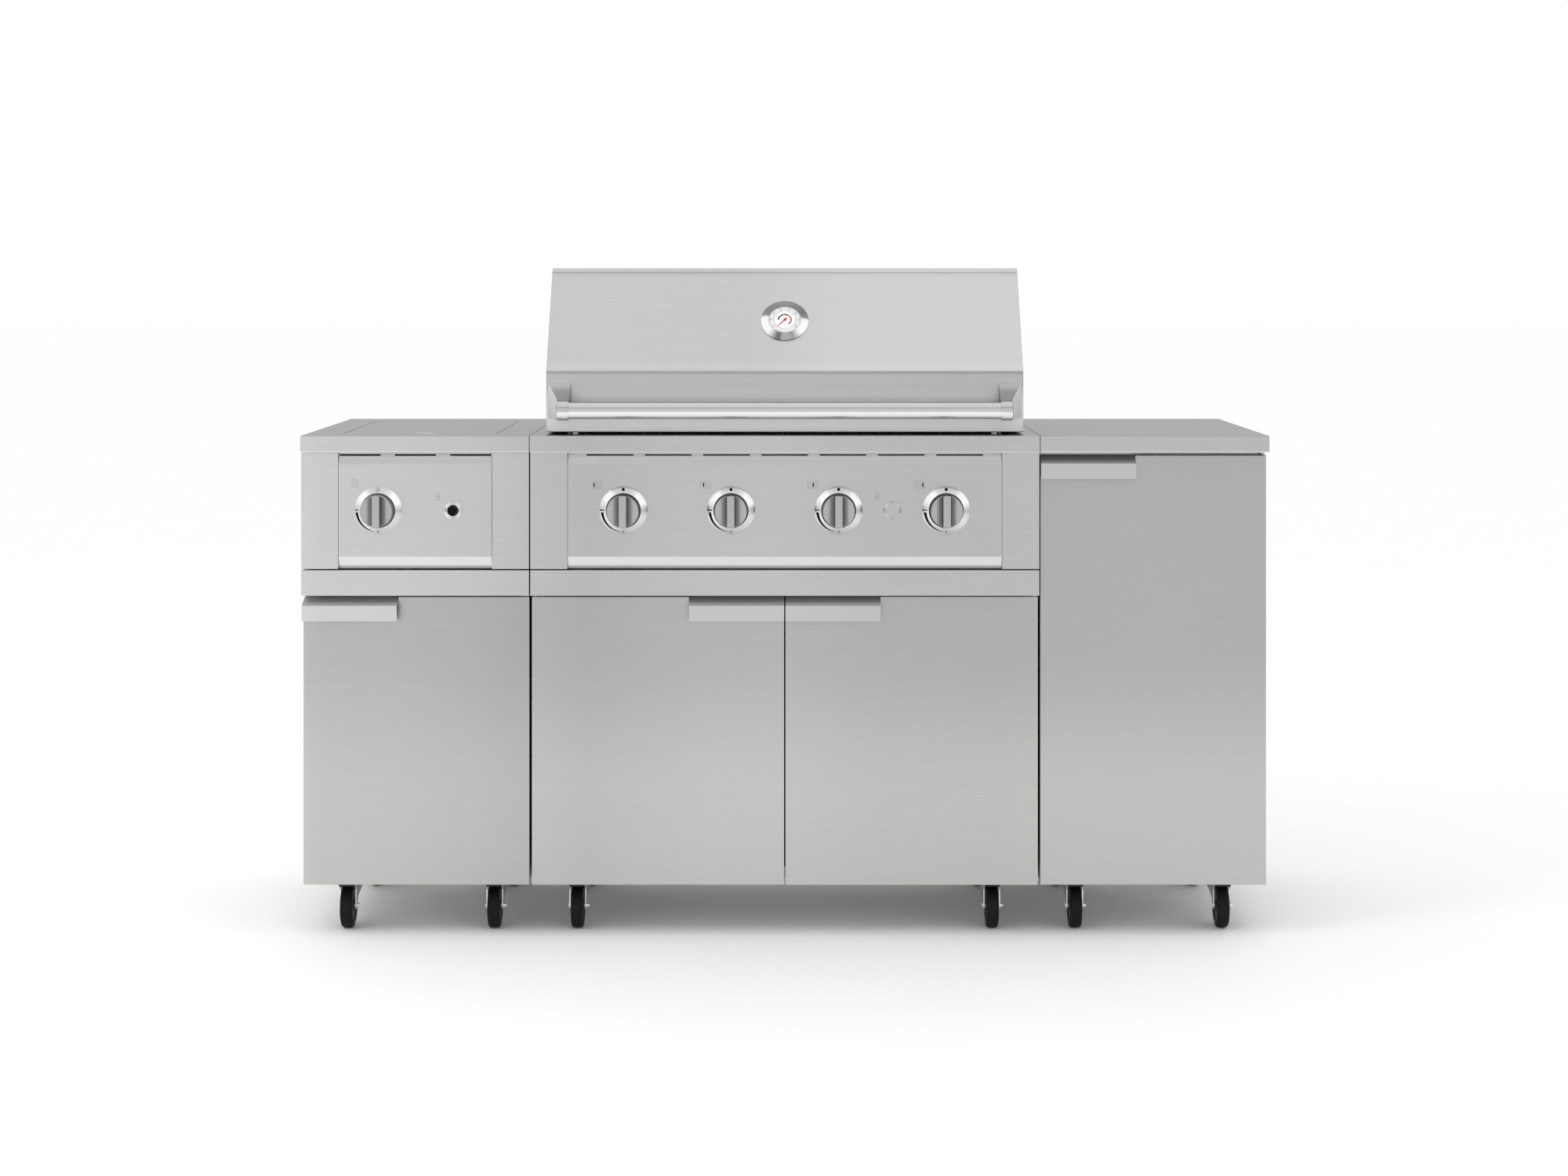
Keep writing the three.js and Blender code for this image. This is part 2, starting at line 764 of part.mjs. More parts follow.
function bezel(x) {
  const ring = turned([
    [bezelBore, -sheet / 2], [bezelRadius, -sheet / 2],
    [bezelCrest, bezelRise], [bezelBore, bezelRise - sheet / 2],
  ], roundSides);
  return facingFront(ring, x, faceSetback, knobHeight);
}

function igniterBarrel(x, ring, rise, bore) {
  const wall = bore + sheet;
  return facingFront(turned([
    [0, -igniterDepth - sheet], [wall, -igniterDepth - sheet], [wall, -sheet / 2],
    [ring, -sheet / 2], [wall, rise], [bore, rise], [bore, -igniterDepth], [0, -igniterDepth],
  ], roundSides), x, faceSetback, knobHeight);
}

function controlPanel({ width, knobs, igniter, ring, rise, button, slots, slotLength, slotPitch }) {
  const half = width / 2 - housingInset - stileWidth - panelGap;
  const section = folded([
    [faceSetback + panelBottomRecess + panelReturn, panelBottom],
    [faceSetback + panelBottomRecess, panelBottom],
    [faceSetback, panelBottom + panelBottomFacet],
    [faceSetback, panelTop - panelTopFacet],
    [faceSetback + panelTopRecess, panelTop],
    [faceSetback + panelTopRecess + panelReturn, panelTop],
  ], -sheet);
  const slotMiddle = panelTop - slotDrop;
  const cuts = [];
  for (let i = 0; i < slots; i += 1) {
    const x = (i - (slots - 1) / 2) * slotPitch;
    cuts.push(box(x - slotLength / 2, x + slotLength / 2, faceSetback - overrun,
      faceSetback + panelTopRecess + sheet, slotMiddle - slotHeight / 2,
      slotMiddle + slotHeight / 2));
  }
  for (const x of knobs) {
    cuts.push(facingFront(disc(knobShaftHole, -overrun, overrun, pinSides),
      x, faceSetback, knobHeight));
  }
  const bore = button + igniterClearance;
  cuts.push(facingFront(disc(bore, -overrun, overrun), igniter, faceSetback, knobHeight));
  const rings = knobs.map(bezel);
  return join([cut(alongX(section, -half, half), cuts), ...rings,
    igniterBarrel(igniter, ring, rise, bore)]);
}

// Knob: a turned body with a grip bar left standing between two scooped hollows
function knob() {
  const body = turned([
    [0, knobBase], [knobRadius, knobBase], [knobRadius, knobReach - knobChamfer],
    [knobRadius - knobChamfer, knobReach], [0, knobReach],
  ], roundSides);
  const outer = knobRadius + overrun;
  const top = knobReach + overrun;
  const hollows = mirrored((side) => {
    const outline = [[side * outer, top], [(side * knobBar) / 2, top]];
    for (let k = 0; k <= knobScoopSteps; k += 1) {
      const share = k / knobScoopSteps;
      const x = knobBar / 2 + share * (knobRadius - knobBar / 2);
      const depth = knobScoopRim + (knobScoopDepth - knobScoopRim) * (1 - share) ** 2;
      outline.push([side * x, knobReach - depth]);
    }
    outline.push([side * outer, knobReach - knobScoopRim]);
    return alongY(outline, -outer, outer);
  });
  const shaft = disc(knobShaftRadius, -knobShaftReach, knobBase + sheet, pinSides);
  return facingFront(cut(body, hollows).add(shaft), 0, 0, 0);
}

function igniterButtonSolid(radius, front) {
  const back = -igniterDepth + igniterTravel + seatGap;
  return facingFront(turned([
    [0, back], [radius, back], [radius, front - buttonChamfer],
    [radius - buttonChamfer, front], [0, front],
  ], roundSides), 0, 0, 0);
}

// Worktops: a folded sheet with deep edges, open underneath

function worktop(width) {
  const half = width / 2;
  return box(-half, half, 0, worktopDepth, worktopUnderside, worktopHeight)
    .subtract(box(-half + sheet, half - sheet, sheet, worktopDepth - sheet,
      worktopUnderside - overrun, worktopHeight - sheet));
}

function grillWorktop() {
  const hole = grillHalf + seatGap;
  const lip = box(-hole - sheet, hole + sheet, grillFront - sheet, grillBack + sheet,
    worktopHeight - worktopLip, worktopHeight);
  const opening = box(-hole, hole, grillFront, grillBack, worktopUnderside - overrun,
    worktopHeight + overrun);
  return worktop(grillWidth).add(lip).subtract(opening);
}

function burnerWorktop() {
  const half = lidWidth / 2 + lidGap;
  const front = lidSetback - lidGap;
  const back = lidSetback + lidDepth + lidBackGap;
  const pan = box(-half - sheet, half + sheet, front - sheet, back + sheet,
    ledgeHeight - sheet, worktopHeight);
  const recess = box(-half, half, front, back, ledgeHeight, worktopHeight + overrun);
  const well = box(-bowlHalf, bowlHalf, bowlFront, bowlBack, worktopUnderside, worktopHeight);
  const reach = half + 2 * sheet;
  const pinHoles = alongAxle(disc(lidPinRadius + lidPinClearance, -reach, reach, pinSides),
    0, lidPinLine, lidPinHeight);
  return cut(worktop(sideWidth).add(pan), [recess, well, pinHoles]);
}

// Lid of the side burner: a flush pan with a half-round finger notch in its front edge,
// turning on two pins at its back, behind which its lower edge is relieved
function burnerLid() {
  const half = lidWidth / 2;
  const back = lidSetback + lidDepth;
  const bottom = worktopHeight - lidHeight;
  const pan = box(-half, half, lidSetback, back, bottom, worktopHeight)
    .subtract(box(-half + sheet, half - sheet, lidSetback + sheet, back - sheet,
      bottom - overrun, worktopHeight - sheet));
  const arc = (grow) => {
    const outline = [[notchWidth / 2 + grow, lidSetback - overrun + grow]];
    for (let k = 0; k <= notchSteps; k += 1) {
      const angle = (Math.PI * k) / notchSteps;
      outline.push([(notchWidth / 2 + grow) * Math.cos(angle),
        lidSetback + (notchDepth + grow) * Math.sin(angle)]);
    }
    outline.push([-notchWidth / 2 - grow, lidSetback - overrun + grow]);
    return outline;
  };
  const lining = alongZ(arc(sheet), bottom, worktopHeight)
    .intersect(box(-half, half, lidSetback, back, bottom, worktopHeight));
  const heel = box(-half - overrun, half + overrun, lidPinLine, back + overrun,
    bottom - overrun, bottom + lidHeelRise);
  const pins = mirrored((side) => alongAxle(disc(lidPinRadius,
    ...span(side * (half - sheet / 2), side * (half + lidPinReach)), pinSides),
  0, lidPinLine, lidPinHeight));
  const notched = cut(pan.add(lining), [
    alongZ(arc(0), bottom - overrun, worktopHeight + overrun), heel,
  ]);
  return join([notched, ...pins]);
}

// Doors: folded pans whose hinge side turns on pins close behind the front face

function pullSpan(x0, x1, hingeSide) {
  return hingeSide > 0 ? [x0, x0 + pullLength] : [x1 - pullLength, x1];
}

function pullSlope(top, lower) {
  const rise = pullDrop / (pullRoot + pullReach);
  const front = doorSetback - pullReach;
  const back = doorSetback + pullRoot;
  return { front, back, zFront: top - pullDrop - lower, zBack: top - lower, rise };
}

function door(x0, x1, top, hingeSide) {
  const edge = hingeSide > 0 ? x1 : x0;
  const hinge = edge - hingeSide * hingeInset;
  const [pull0, pull1] = pullSpan(x0, x1, hingeSide);
  const slope = pullSlope(top, pullSheet + seatGap);
  const inside = [
    box(x0 + sheet, x1 - sheet, doorSetback + sheet, doorBack - sheet,
      doorBottom + sheet, top - sheet),
    box(x0 + doorFlange, x1 - doorFlange, doorSetback + sheet, doorBack + overrun,
      doorBottom + doorFlange, top - doorFlange),
  ];
  const blockSpan = span(edge, edge - hingeSide * hingeBlock);
  const blockBack = hingeLine + hingeBlock / 2;
  const footTop = casterHeight + hingePlate;
  const filled = join([
    cut(box(x0, x1, doorSetback, doorBack, doorBottom, top), inside),
    box(pull0 - sheet, pull1 + sheet, doorSetback, doorBack, top - pullBlock, top)
      .intersect(box(x0, x1, doorSetback, doorBack, doorBottom, top)),
    box(...blockSpan, doorSetback, blockBack, doorBottom, footTop + hingePinReach + hingeBlock / 2),
    box(...blockSpan, doorSetback, blockBack, top - hingeBlock, top),
  ]);
  const [wedge0, wedge1] = hingeSide > 0
    ? [pull0 - overrun, pull1 + seatGap] : [pull0 - seatGap, pull1 + overrun];
  const behind = doorBack + overrun;
  const wedge = alongX([
    [slope.front, slope.zFront], [behind, slope.zBack + (behind - slope.back) * slope.rise],
    [behind, top + overrun], [slope.front, top + overrun],
  ], wedge0, wedge1);
  const notch = box(...span(edge + hingeSide * overrun, edge - hingeSide * hingeNotch),
    doorSetback + sheet, doorBack + overrun, casterHeight - hingeNotchGap, footTop + hingeNotchGap);
  const socket = placed(disc(hingePinRadius + hingeClearance, casterHeight,
    footTop + hingePinReach + seatGap, pinSides), hinge, hingeLine, 0);
  const pin = placed(disc(hingePinRadius, top - hingeBlock, top + hingePinReach, pinSides),
    hinge, hingeLine, 0);
  return cut(filled, [wedge, notch, socket]).add(pin);
}

function doorPull(x0, x1, top, hingeSide) {
  const [pull0, pull1] = pullSpan(x0, x1, hingeSide);
  const slope = pullSlope(top, 0);
  const section = folded([
    [slope.back, slope.zBack], [slope.front, slope.zFront],
    [slope.front, slope.zFront - pullFlange],
  ], pullSheet);
  return alongX(section, pull0, pull1);
}

// Casters: a wheel on an axle between two fork plates under a swivel race

function casterFork() {
  const inner = wheelWidth / 2 + forkClearance;
  const outer = inner + forkSheet;
  const cheek = rounded([
    [-casterTrail - forkEar, forkTop],
    [-casterTrail - forkEar, wheelRadius - forkEar, forkCorner],
    [-casterTrail + forkEar, wheelRadius - forkEar, forkCorner],
    [forkRear, wheelRadius + 2 * forkEar],
    [forkRear, forkTop],
  ], forkSteps);
  const cheeks = mirrored((side) => alongX(cheek, ...span(side * inner, side * outer)));
  const bridge = box(-outer, outer, -casterTrail - forkEar, forkRear, forkTop - forkSheet, forkTop);
  const race = disc(casterRace, forkTop - forkSheet, casterHeight - casterPlate - seatGap, pinSides);
  const bolt = alongAxle(turned([
    [0, -outer - axleHead], [axleRadius + axleHead, -outer - axleHead],
    [axleRadius + axleHead, -outer], [axleRadius, -outer], [axleRadius, outer],
    [axleRadius + axleHead, outer], [axleRadius + axleHead, outer + axleNut], [0, outer + axleNut],
  ], hexSides), 0, -casterTrail, wheelRadius);
  const hole = disc(kingPinRadius + kingPinClearance, forkTop - overrun, casterHeight, pinSides);
  return join([...cheeks, bridge, race, bolt]).subtract(hole);
}

// The wheel stands on one of the flats of its tread, at the wheel's radius below the axle
function casterWheel() {
  const half = wheelWidth / 2;
  const web = half - wheelRecess;
  const tread = half - wheelTreadChamfer;
  const radius = wheelRadius / Math.cos(Math.PI / wheelSides);
  const shoulder = radius - wheelTreadChamfer;
  return alongAxle(turned([
    [wheelBore, -web], [shoulder, -half], [radius, -tread],
    [radius, tread], [shoulder, half], [wheelBore, web],
  ], wheelSides), 0, 0, 0);
}

// Gas rail with a valve behind each knob, a tube burner on each valve, and a roof-shaped
// heat tent on two posts over each burner
function burnerSet() {
  const pipeEnd = knobRow[burnerCount - 1] + gasPipeOverhang;
  const pipe = alongAxle(disc(gasPipeRadius, -pipeEnd, pipeEnd, pinSides),
    0, gasPipeSetback, knobHeight);
  const valveBack = gasPipeSetback + valveRadius;
  const tubeFront = fireFront + burnerNeckLength;
  const tubeBack = fireBack - burnerEndGap;
  const tentFront = tubeFront + tentEndGap;
  const tentBack = tubeBack - tentEndGap;
  const tentBase = knobHeight + tentRise;
  const tentTop = tentBase + tentHeight;
  const pitchOfRoof = tentHeight / (tentWidth / 2);
  const roof = folded([[-tentWidth / 2, tentBase], [0, tentTop], [tentWidth / 2, tentBase]], -sheet);
  const halfPost = tentPost / 2;
  const shoulder = tentTop - halfPost * pitchOfRoof - sheet / 2;
  const post = [[-halfPost, knobHeight], [halfPost, knobHeight], [halfPost, shoulder],
    [0, tentTop - sheet / 2], [-halfPost, shoulder]];
  const burner = turned([
    [0, -valveFront], [valveRadius, -valveFront], [valveRadius, -valveBack],
    [burnerNeck, -valveBack], [burnerNeck, -tubeFront], [burnerRadius, -tubeFront],
    [burnerRadius, -tubeBack], [0, -tubeBack],
  ], hexSides);
  const set = join([
    facingFront(burner, 0, 0, knobHeight),
    alongY(roof, tentFront, tentBack),
    alongY(post, tentFront + tentPostInset, tentFront + tentPostInset + tentPostSheet),
    alongY(post, tentBack - tentPostInset - tentPostSheet, tentBack - tentPostInset),
  ]);
  return join([pipe, ...knobRow.map((x) => placed(set, x, 0, 0))]);
}

// Cooking grate: bars from front to back between a front and a back rail
function cookingGrate(side) {
  const x0 = grateGap / 2;
  const x1 = grillHalf - sheet - grateSideGap;
  const front = fireFront + sheet + grateEndGap;
  const back = fireBack - sheet - grateEndGap;
  const pitch = (x1 - x0 - grateBar) / (grateBarCount - 1);
  const slots = [];
  for (let i = 1; i < grateBarCount; i += 1) {
    const x = x0 + i * pitch;
    slots.push(sideBox(side, x + grateBar - pitch, x, front + grateRail, back - grateRail,
      grateBottom - overrun, grateTop + overrun));
  }
  return cut(sideBox(side, x0, x1, front, back, grateBottom, grateTop), slots);
}

// Warming rack: round rods between two side rods on four legs that stand on the lugs
function warmingRack() {
  const end = grillHalf - sheet - rackLugWidth / 2;
  const height = worktopHeight + rackHeight;
  const foot = ledgeTop + seatGap;
  const leg = disc(rackWire, foot, height, hexSides);
  const legs = mirrored((side) => [rackFront, rackBack].map((y) => (
    placed(leg, side * end, y, 0)))).flat();
  const sideRod = disc(rackWire, -rackBack - rackWire, -rackFront + rackWire, hexSides);
  const sideRods = mirrored((side) => facingFront(sideRod, side * end, 0, height));
  const rods = [];
  for (let i = 0; i < rackBarCount; i += 1) {
    const y = rackFront + ((rackBack - rackFront) * i) / (rackBarCount - 1);
    rods.push(alongAxle(disc(rackWire, -end, end, hexSides), 0, y, height));
  }
  return join([...legs, ...sideRods, ...rods]);
}

// Grease tray: a pan with side rims on the runners and a face plate over the rear opening
function greaseTray() {
  const back = cabinetBack + seatGap;
  const rim = trayHalf + trayRim;
  const pan = cut(join([
    box(-trayHalf, trayHalf, trayFront, back, trayBottom, trayTop),
    box(-rim, rim, trayFront, back, trayTop - sheet, trayTop),
  ]), [box(-trayHalf + sheet, trayHalf - sheet, trayFront + sheet, back - sheet,
    trayBottom + sheet, trayTop + overrun)]);
  const plateHalf = rim + trayClearance + trayPlateMargin;
  const margin = trayPlateMargin - trayLip;
  const plate = box(-plateHalf, plateHalf, back, back + sheet,
    trayBottom - trayClearance - margin, trayTop + trayClearance + trayPlateMargin);
  const lip = alongX(folded([[back, trayTop + trayClearance + trayPlateMargin],
    [back + trayLip, trayTop + trayClearance + trayPlateMargin],
    [back + trayLip, trayTop + trayClearance - trayPlateMargin]], -sheet), -trayHalf / 2, trayHalf / 2);
  return join([pan, plate, lip]);
}

// Side burner: a tapered bowl under the worktop's ledge with a ring burner in it, fed by a
// curved tube from the valve behind the knob
function sideBurner() {
  const flange = cut(box(-bowlHalf - bowlFlange, bowlHalf + bowlFlange, bowlFront - bowlFlange,
    bowlBack + bowlFlange, bowlTop - sheet, bowlTop), [
    box(-bowlHalf, bowlHalf, bowlFront, bowlBack, bowlTop - 2 * sheet, bowlTop + overrun)]);
  const floor = bowlTop - bowlDepth;
  const bowl = (grow, base) => frustum(bowlHalf + grow, bowlFront - grow, bowlBack + grow, bowlTop,
    bowlHalf - bowlTaper + grow, bowlFront + bowlTaper - grow, bowlBack - bowlTaper + grow, base);
  const shell = bowl(sheet, floor).subtract(bowl(0, floor + sheet));
  const seat = floor + sheet / 2;
  const ringBase = floor + ringBurnerFoot;
  const ring = turned([
    [ringBurnerHub, ringBase], [ringBurnerRadius, ringBase],
    [ringBurnerRadius, ringBase + ringBurnerHeight - ringBurnerGroove],
    [ringBurnerRadius - ringBurnerGroove, ringBase + ringBurnerHeight],
    [ringBurnerHub + ringBurnerGroove, ringBase + ringBurnerHeight],
    [ringBurnerHub, ringBase + ringBurnerHeight - ringBurnerGroove],
  ], roundSides);
  const hub = disc(ringBurnerHub + sheet, seat, ringBase + ringBurnerGroove, roundSides);
  const burner = placed(ring.add(hub), 0, bowlMiddle, 0);
  const valveBack = gasPipeSetback + valveRadius;
  const valve = facingFront(disc(valveRadius, -valveBack, -valveFront, pinSides),
    -sideKnobOffset, 0, knobHeight);
  const run = bowlMiddle - valveBack;
  const drop = seat - knobHeight;
  const route = new THREE.CatmullRomCurve3(tubeRouteShares.map(([across, along, up]) => (
    new THREE.Vector3(-sideKnobOffset * (1 - across), valveBack + run * along - valveRadius / 2,
      knobHeight + drop * up))));
  const circle = new THREE.Shape();
  circle.absarc(0, 0, sideTubeRadius, 0, 2 * Math.PI);
  const tube = solidFrom(new THREE.ExtrudeGeometry(circle, {
    steps: sideTubeSteps, curveSegments: sideTubeSides / 2, extrudePath: route,
  }));
  return join([flange, shell, burner, valve, tube]);
}

// Pan support: a flat frame with fingers towards the middle, on feet in the bowl's corners
function panSupport() {
  const half = bowlHalf - panSupportInset;
  const front = bowlMiddle - half;
  const back = bowlMiddle + half;
  const top = bowlTop + panSupportRise;
  const bottom = top - panSupportHeight;
  const bar = panSupportBar;
  const frame = box(-half, half, front, back, bottom, top)
    .subtract(box(-half + bar, half - bar, front + bar, back - bar, bottom - overrun, top + overrun));
  const finger = box(ringBurnerHub, half - bar / 2, -bar / 2, bar / 2, bottom, top);
  const fingers = [];
  for (let i = 0; i < panSupportFingers; i += 1) {
    const turn = new THREE.Euler(0, 0, (2 * Math.PI * i) / panSupportFingers);
    fingers.push(placed(finger, 0, bowlMiddle, 0, turn));
  }
  const floor = bowlTop - bowlDepth + sheet + seatGap;
  const feet = mirrored((side) => [front, back - bar].map((y) => sideBox(side, half - bar, half,
    y, y + bar, floor, bottom + bar / 2))).flat();
  return join([frame, ...fingers, ...feet]);
}

// Hood: a skin folded at the front and top, between two side plates whose lower rear
// corners are rounded about the pivot
function hood() {
  const front = [hoodSetback, hoodBottom];
  const fold = [hoodSetback, hoodBottom + hoodFront, frontBend];
  const crest = [hoodSetback + hoodSlopeDepth, hoodBottom + hoodHeight, topBend];
  const rear = [hoodBack, hoodBottom + hoodHeight, backBend];
  const skin = rounded([[hoodSetback + hoodHem, hoodBottom], front, fold, crest, rear,
    [hoodBack, pivotHeight + hoodTailRise]], bendSteps);
  const side = rounded([front, fold, crest, rear, [hoodBack, hoodBottom, pivotRadius]], bendSteps);
  const plates = mirrored((end) => {
    const [x0, x1] = span(end * (hoodHalf - sheet), end * hoodHalf);
    return alongX(side, x0, x1);
  });
  const pins = mirrored((end) => {
    const [x0, x1] = span(end * (hoodHalf - pivotPinReach), end * (hoodHalf - sheet / 2));
    return alongAxle(disc(pivotPinRadius, x0, x1, pinSides), 0, pivotSetback, pivotHeight);
  });
  const bumper = disc(bumperRadius, worktopHeight + seatGap, hoodBottom + sheet / 2, pinSides);
  const bumpers = mirrored((end) => placed(bumper, end * bumperOffset,
    hoodSetback + bumperSetback, 0));
  const stemHole = placed(disc(gaugeStemHole, -overrun, overrun, pinSides),
    0, gaugeSetback, gaugeHeight, new THREE.Euler(Math.PI / 2 - hoodSlopeAngle, 0, 0));
  const shell = join([alongX(folded(skin, -sheet), -hoodHalf + sheet / 2, hoodHalf - sheet / 2),
    ...plates, ...pins, ...bumpers]);
  return shell.subtract(stemHole);
}

// Hood handle: swept brackets whose tops and outer sides taper to collars round the tube
function hoodHandle() {
  const face = hoodSetback - seatGap;
  const drop = bracketAbove - handleCollar;
  const sweep = sweepShares.map(([way, fall]) => [
    face - way * handleStandoff, handleHeight + bracketAbove - fall * drop,
  ]);
  const nose = [];
  for (let k = 0; k <= roundSides / 2; k += 1) {
    const angle = Math.PI / 2 + (Math.PI * k) / (roundSides / 2);
    nose.push([handleSetback + handleCollar * Math.cos(angle),
      handleHeight + handleCollar * Math.sin(angle)]);
  }
  const profile = [[face, handleHeight - bracketBelow], [face, handleHeight + bracketAbove],
    ...sweep, ...nose];
  const outer = bracketInner + bracketWidth;
  const sides = mirrored((end) => {
    const [x0, x1] = span(end * bracketInner, end * outer);
    const beyond = end * (outer + overrun);
    const taper = sweepShares.map(([way, fall]) => [
      end * (outer - fall * bracketTaper), face - way * handleStandoff,
    ]);
    const wedge = alongZ([
      [beyond, face - bracketRoot], [end * outer, face - bracketRoot], ...taper,
      [end * (outer - bracketTaper), handleSetback],
      [end * (outer - bracketTaper), handleSetback - handleCollar - overrun],
      [beyond, handleSetback - handleCollar - overrun],
    ], handleHeight - 2 * handleCollar, handleHeight + bracketAbove + overrun);
    return alongX(profile, x0, x1).subtract(wedge);
  });
  const reach = bracketInner + handleCollarWidth / 2;
  const tube = alongAxle(disc(handleTube, -reach, reach), 0, handleSetback, handleHeight);
  return join([...sides, tube]);
}

// Thermometer: a conical bezel round a glass set below its crest, on a stem that passes
// through the hood and is held by a nut behind it
function thermometer() {
  const dish = gaugeBezel - gaugeDish;
  const head = turned([
    [0, seatGap], [gaugeRadius, seatGap], [gaugeRadius, gaugeDish], [gaugeGlass + sheet, gaugeBezel],
    [gaugeGlass, gaugeBezel], [gaugeGlass, dish], [0, dish],
  ], roundSides);
  const stem = disc(gaugeStemRadius, -gaugeStem, gaugeDish, pinSides);
  const nut = disc(gaugeNut, -sheet - seatGap - gaugeDish, -sheet - seatGap, hexSides);
  return join([head, stem, nut]);
}

// The island: everything is placed from the front edge of the worktops, then the whole is
// moved back so that the origin lies under the middle of its length, width and depth
const island = new THREE.Group();
island.name = 'outdoor_kitchen_island';
const frame = groupAt(island, 0, -(overallFront + worktopDepth) / 2, 0);

const modules = [
  { prefix: 'left', x: leftCentre, caster: sideCasterOffset },
  { prefix: 'centre', x: 0, caster: grillCasterOffset },
  { prefix: 'right', x: rightCentre, caster: sideCasterOffset },
];
const [left, centre, right] = modules.map(({ x }) => groupAt(frame, x, 0, 0));

const sideHalf = sideWidth / 2 - cabinetInset;
const grillHalfCabinet = grillWidth / 2 - cabinetInset;
const lowDoorTop = railBottom - doorTopGap;
const tallDoorTop = worktopUnderside - tallDoorTopGap;
const doors = [
  { name: 'left_door', group: left, x0: -sideHalf, x1: sideHalf, top: lowDoorTop, hinge: 1 },
  { name: 'centre_left_door', group: centre, x0: -grillHalfCabinet, x1: -doorPairGap / 2,
    top: lowDoorTop, hinge: -1 },
  { name: 'centre_right_door', group: centre, x0: doorPairGap / 2, x1: grillHalfCabinet,
    top: lowDoorTop, hinge: 1 },
  { name: 'right_door', group: right, x0: -sideHalf, x1: sideHalf, top: tallDoorTop, hinge: 1 },
];

piece(left, 'left_cabinet', cabinet({
  width: sideWidth, top: lowerCabinetTop, railed: true, casterOffset: sideCasterOffset,
  hinges: [sideHalf - hingeInset],
}), 'brushed');
piece(centre, 'centre_cabinet', cabinet({
  width: grillWidth, top: lowerCabinetTop, railed: true, casterOffset: grillCasterOffset,
  hinges: [-grillHalfCabinet + hingeInset, grillHalfCabinet - hingeInset],
}), 'brushed');
piece(right, 'right_cabinet', cabinet({
  width: sideWidth, top: housingTop, railed: false, casterOffset: sideCasterOffset,
  hinges: [sideHalf - hingeInset], shelf: true,
}), 'brushed');

piece(left, 'side_burner_housing', sideHousing(), 'brushed');
piece(centre, 'grill_housing', grillHousing(), 'brushed');
piece(left, 'side_burner_panel', controlPanel({
  width: sideWidth, knobs: [-sideKnobOffset], igniter: sideIgniterOffset, ring: sideIgniterRing,
  rise: sideIgniterRise, button: sideIgniterButton, slots: sideSlotCount,
  slotLength: sideSlotLength, slotPitch: sideSlotPitch,
}), 'brushed');
piece(centre, 'grill_control_panel', controlPanel({
  width: grillWidth, knobs: knobRow, igniter: grillIgniter, ring: igniterRing,
  rise: igniterRise, button: igniterButton, slots: grillSlotCount,
  slotLength: grillSlotLength, slotPitch: grillSlotPitch,
}), 'brushed');
piece(left, 'side_burner_worktop', burnerWorktop(), 'brushed');
piece(centre, 'grill_worktop', grillWorktop(), 'brushed');
piece(right, 'right_worktop', worktop(sideWidth), 'brushed');

piece(centre, 'burner_set', burnerSet(), 'inner');
piece(centre, 'left_cooking_grate', cookingGrate(-1), 'inner');
piece(centre, 'right_cooking_grate', cookingGrate(1), 'inner');
piece(centre, 'warming_rack', warmingRack(), 'polished');
piece(centre, 'grease_tray', greaseTray(), 'inner');
piece(left, 'side_burner', sideBurner(), 'inner');
piece(left, 'pan_support', panSupport(), 'black');
piece(left, 'side_burner_lid', burnerLid(), 'brushed');

piece(centre, 'hood', hood(), 'brushed');
piece(centre, 'hood_handle', hoodHandle(), 'polished');
const gauge = groupAt(centre, 0, gaugeSetback, gaugeHeight);
gauge.rotation.x = Math.PI / 2 - hoodSlopeAngle;
piece(gauge, 'thermometer', thermometer(), 'dial');

for (const { name, group, x0, x1, top, hinge } of doors) {
  piece(group, name, door(x0, x1, top, hinge), 'brushed');
  piece(group, `${name}_pull`, doorPull(x0, x1, top, hinge), 'brushed');
}

const knobPlaces = [[left, -sideKnobOffset], ...knobRow.map((x) => [centre, x])];
knobPlaces.forEach(([group, x], i) => {
  const place = groupAt(group, x, faceSetback, knobHeight);
  piece(place, i ? `knob_${i}` : 'side_burner_knob', knob(), 'polished');
});
const grillButton = groupAt(centre, grillIgniter, faceSetback, knobHeight);
piece(grillButton, 'grill_igniter_button',
  igniterButtonSolid(igniterButton, igniterRise - igniterRecess), 'brushed');
const sideButton = groupAt(left, sideIgniterOffset, faceSetback, knobHeight);
piece(sideButton, 'side_igniter_button',
  igniterButtonSolid(sideIgniterButton, sideIgniterReach), 'black');

for (const { prefix, x, caster } of modules) {
  for (const [row, y] of [['front', frontCasterSetback], ['rear', rearCasterSetback]]) {
    for (const [end, offset] of [['left', -caster], ['right', caster]]) {
      const swivel = groupAt(frame, x + offset, y, 0);
      piece(swivel, `${prefix}_${row}_${end}_fork`, casterFork(), 'zinc');
      const axle = groupAt(swivel, 0, -casterTrail, wheelRadius);
      piece(axle, `${prefix}_${row}_${end}_wheel`, casterWheel(), 'rubber');
    }
  }
}

export default island;
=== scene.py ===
import math

import bmesh
import bpy
from mathutils import Matrix, Vector


